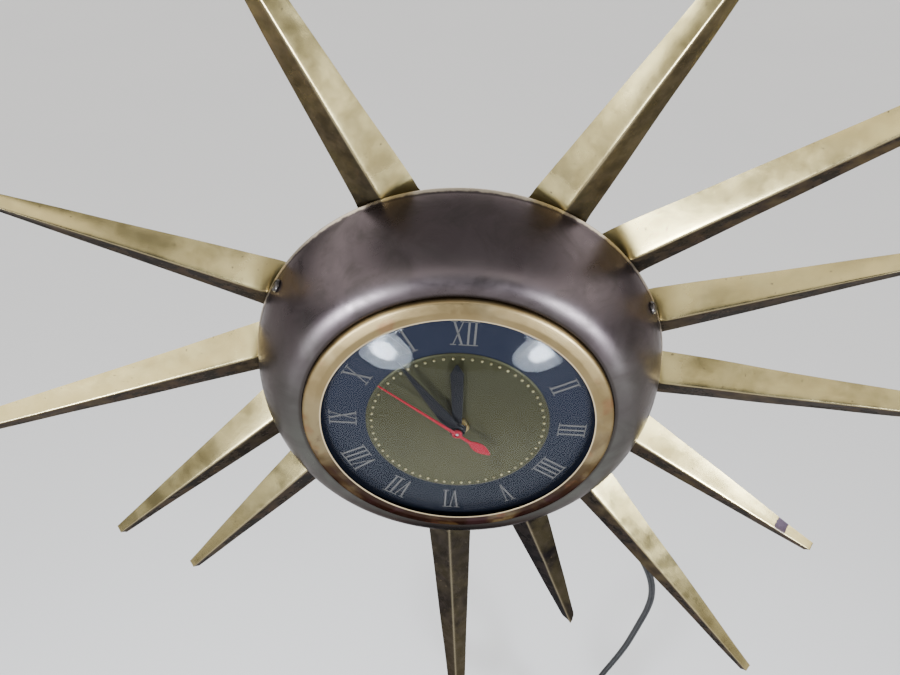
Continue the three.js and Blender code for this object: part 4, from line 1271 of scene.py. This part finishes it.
def dress_nodes(finishes):
    """Gives every CAD node that still shows its finish and a small bevel on its edges."""
    steel = ["seconds_arbor", "intermediate_arbor", "minute_tube", "clutch_spring", "motion_pinion"]
    steel += ["set_shaft", "motor_rotor_can", "motor_screw_1", "motor_screw_2", "hanger_plate"]
    brass = ["hand_nut", "centre_bushing", "movement_front_plate", "movement_back_plate"]
    brass += [f"movement_pillar_{i}" for i in (1, 2, 3)]
    brass += ["seconds_wheel", "intermediate_wheel", "centre_wheel", "motion_wheel", "hour_wheel"]
    brass += ["motor_pinion", "plug_blade_1", "plug_blade_2"]
    groups = {
        "steel": steel,
        "brass": brass,
        "core_steel": ["motor_stator_core"],
        "coil_wrap": ["motor_coil"],
        "black_plastic": ["set_knob", "cord_tie"],
    }
    edges = {"plug_blade_1": 0.35, "plug_blade_2": 0.35, "set_knob": 0.25, "hanger_plate": 0.3}
    edges.update({"motor_coil": 1.5, "hand_nut": 0.25, "cord_tie": 0.3})
    for slot, names in groups.items():
        for name in names:
            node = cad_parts[name]
            node.data.materials.clear()
            node.data.materials.append(finishes[slot])
            edge = node.modifiers.new("edge", "BEVEL")
            edge.width = edges.get(name, 0.08) * MM
            edge.segments = 2
            edge.limit_method = "ANGLE"
            edge.angle_limit = math.radians(40)


# ------------------------------------------------------------------ studio

def make_floor(finish):
    """A wide floor in metres, just below the coil."""
    drop, size = -0.5, 6
    mesh = bpy.data.meshes.new("floor")
    corners = [(-size, -size, drop), (size, -size, drop), (size, size, drop), (-size, size, drop)]
    mesh.from_pydata(corners, [], [(0, 1, 2, 3)])
    floor = linked("floor", mesh)
    mesh.materials.append(finish)


def area_light(name, place, target, size, power, tint):
    data = bpy.data.lights.new(name, "AREA")
    data.shape = "ELLIPSE"
    data.size, data.size_y = size
    data.energy = power
    data.color = tint
    light = linked(name, data)
    light.location = place
    light.rotation_euler = (Vector(target) - Vector(place)).to_track_quat("-Z", "Y").to_euler()


def make_tent(top, side, dark):
    """A white light tent, brighter above than at the sides, with a dark opening in front."""
    opening = Vector((0.08, -math.cos(math.radians(16)), -math.sin(math.radians(16)))).normalized()
    world = bpy.data.worlds.new("tent")
    world.use_nodes = True
    tree = world.node_tree
    sky = tree.nodes["Background"]
    sky.inputs["Color"].default_value = (1.0, 0.985, 0.96, 1)
    heading = tree.nodes.new("ShaderNodeTexCoord").outputs["Generated"]
    upward = Vector((0, 0, 1))
    steps = [
        sky_step(tree, heading, upward, (4, 22), (side, top)),
        sky_step(tree, heading, upward, (34, 50), (1.0, 0.2)),
        sky_step(tree, heading, opening, (40, 49), (1.0, dark)),
    ]
    strength = steps[0]
    for step in steps[1:]:
        product = tree.nodes.new("ShaderNodeMath")
        product.operation = "MULTIPLY"
        tree.links.new(strength, product.inputs[0])
        tree.links.new(step, product.inputs[1])
        strength = product.outputs[0]
    seen = tree.nodes.new("ShaderNodeMix")
    tree.links.new(tree.nodes.new("ShaderNodeLightPath").outputs["Is Camera Ray"], seen.inputs[0])
    tree.links.new(strength, seen.inputs[2])
    seen.inputs[3].default_value = BACKGROUND
    tree.links.new(seen.outputs[0], sky.inputs["Strength"])
    bpy.context.scene.world = world


def sky_step(tree, heading, toward, angles, values):
    """A smooth step in the sky between two angles, in degrees above the plane square to toward."""
    along = tree.nodes.new("ShaderNodeVectorMath")
    along.operation = "DOT_PRODUCT"
    along.inputs[1].default_value = toward
    tree.links.new(heading, along.inputs[0])
    step = tree.nodes.new("ShaderNodeMapRange")
    step.interpolation_type = "SMOOTHSTEP"
    edges = [math.sin(math.radians(angle)) for angle in angles]
    for socket, value in zip(list(step.inputs)[1:], (*edges, *values)):
        socket.default_value = value
    tree.links.new(along.outputs["Value"], step.inputs[0])
    return step.outputs[0]


def make_studio():
    """Two soft lamps in front, left and right of the dial, with bright middles, inside a tent."""
    cool = (0.84, 0.91, 1.0)
    for side, x, z in (("left", -1, 0.02), ("right", 1.1, 0.05)):
        area_light(side + "_lamp", (0.41 * x, -0.67, z), (0, -0.05, 0), (0.34, 0.22), 4.5, cool)
        area_light(side + "_core", (0.405 * x, -0.662, z), (0, -0.05, 0), (0.15, 0.10), 5, cool)
    make_tent(2.6, 0.17, 0.02)


# ------------------------------------------------------------------ the clock

make_camera()

black_plastic = moulded("black_plastic", (0.022, 0.020, 0.019), 0.42)
cord, cord_path, cord_length = make_cord(moulded("cord_rubber", (0.007, 0.007, 0.008), 0.42, 0.8, 0.006))
plug = make_plug(black_plastic)
make_grommet(black_plastic)

make_floor(matt_floor())
make_studio()

brass_sheet = ray_brass()
for name, station, slip, tip, lean, rake, shade_share in RAYS:
    make_ray(name, station, slip, tip, lean, rake, shade_share, brass_sheet)

steel = plain_metal("steel", (0.42, 0.42, 0.43), (0.22, 0.21, 0.20), 0.38)
pan_steel = plain_metal("pan_steel", (0.20, 0.17, 0.125), (0.12, 0.105, 0.085), 0.42, 0.8, 30)
make_dome(bronze())
make_bezel(bezel_gold())
make_crystal(clear_glass())
make_case_screws(plain_metal("screw_steel", (0.09, 0.08, 0.075), (0.04, 0.036, 0.034), 0.34, 0.9, 2))
make_rear_pan(pan_steel)
make_ray_ring(pan_steel)

beads = plain_metal("bead_gold", (0.34, 0.30, 0.16), (0.22, 0.19, 0.10), 0.3)
numeral_paint = paint("numeral_paint", (0.088, 0.082, 0.076), (0.05, 0.05, 0.057), 0.5, 0.0)
make_dial(dial_blue(), dial_gold(), beads, numeral_paint)
black_paint = paint("black_paint", (0.003, 0.003, 0.0045), (0.01, 0.01, 0.012), 0.36, 0.05)
make_hands(black_paint, paint("red_paint", (0.22, 0.003, 0.013), (0.15, 0.006, 0.016), 0.42, 0.05))

dress_nodes(
    {
        "steel": steel,
        "brass": plain_metal("brass", (0.74, 0.56, 0.25), (0.52, 0.38, 0.17), 0.3),
        "core_steel": laminated(),
        "coil_wrap": taped_winding(),
        "black_plastic": black_plastic,
    }
)
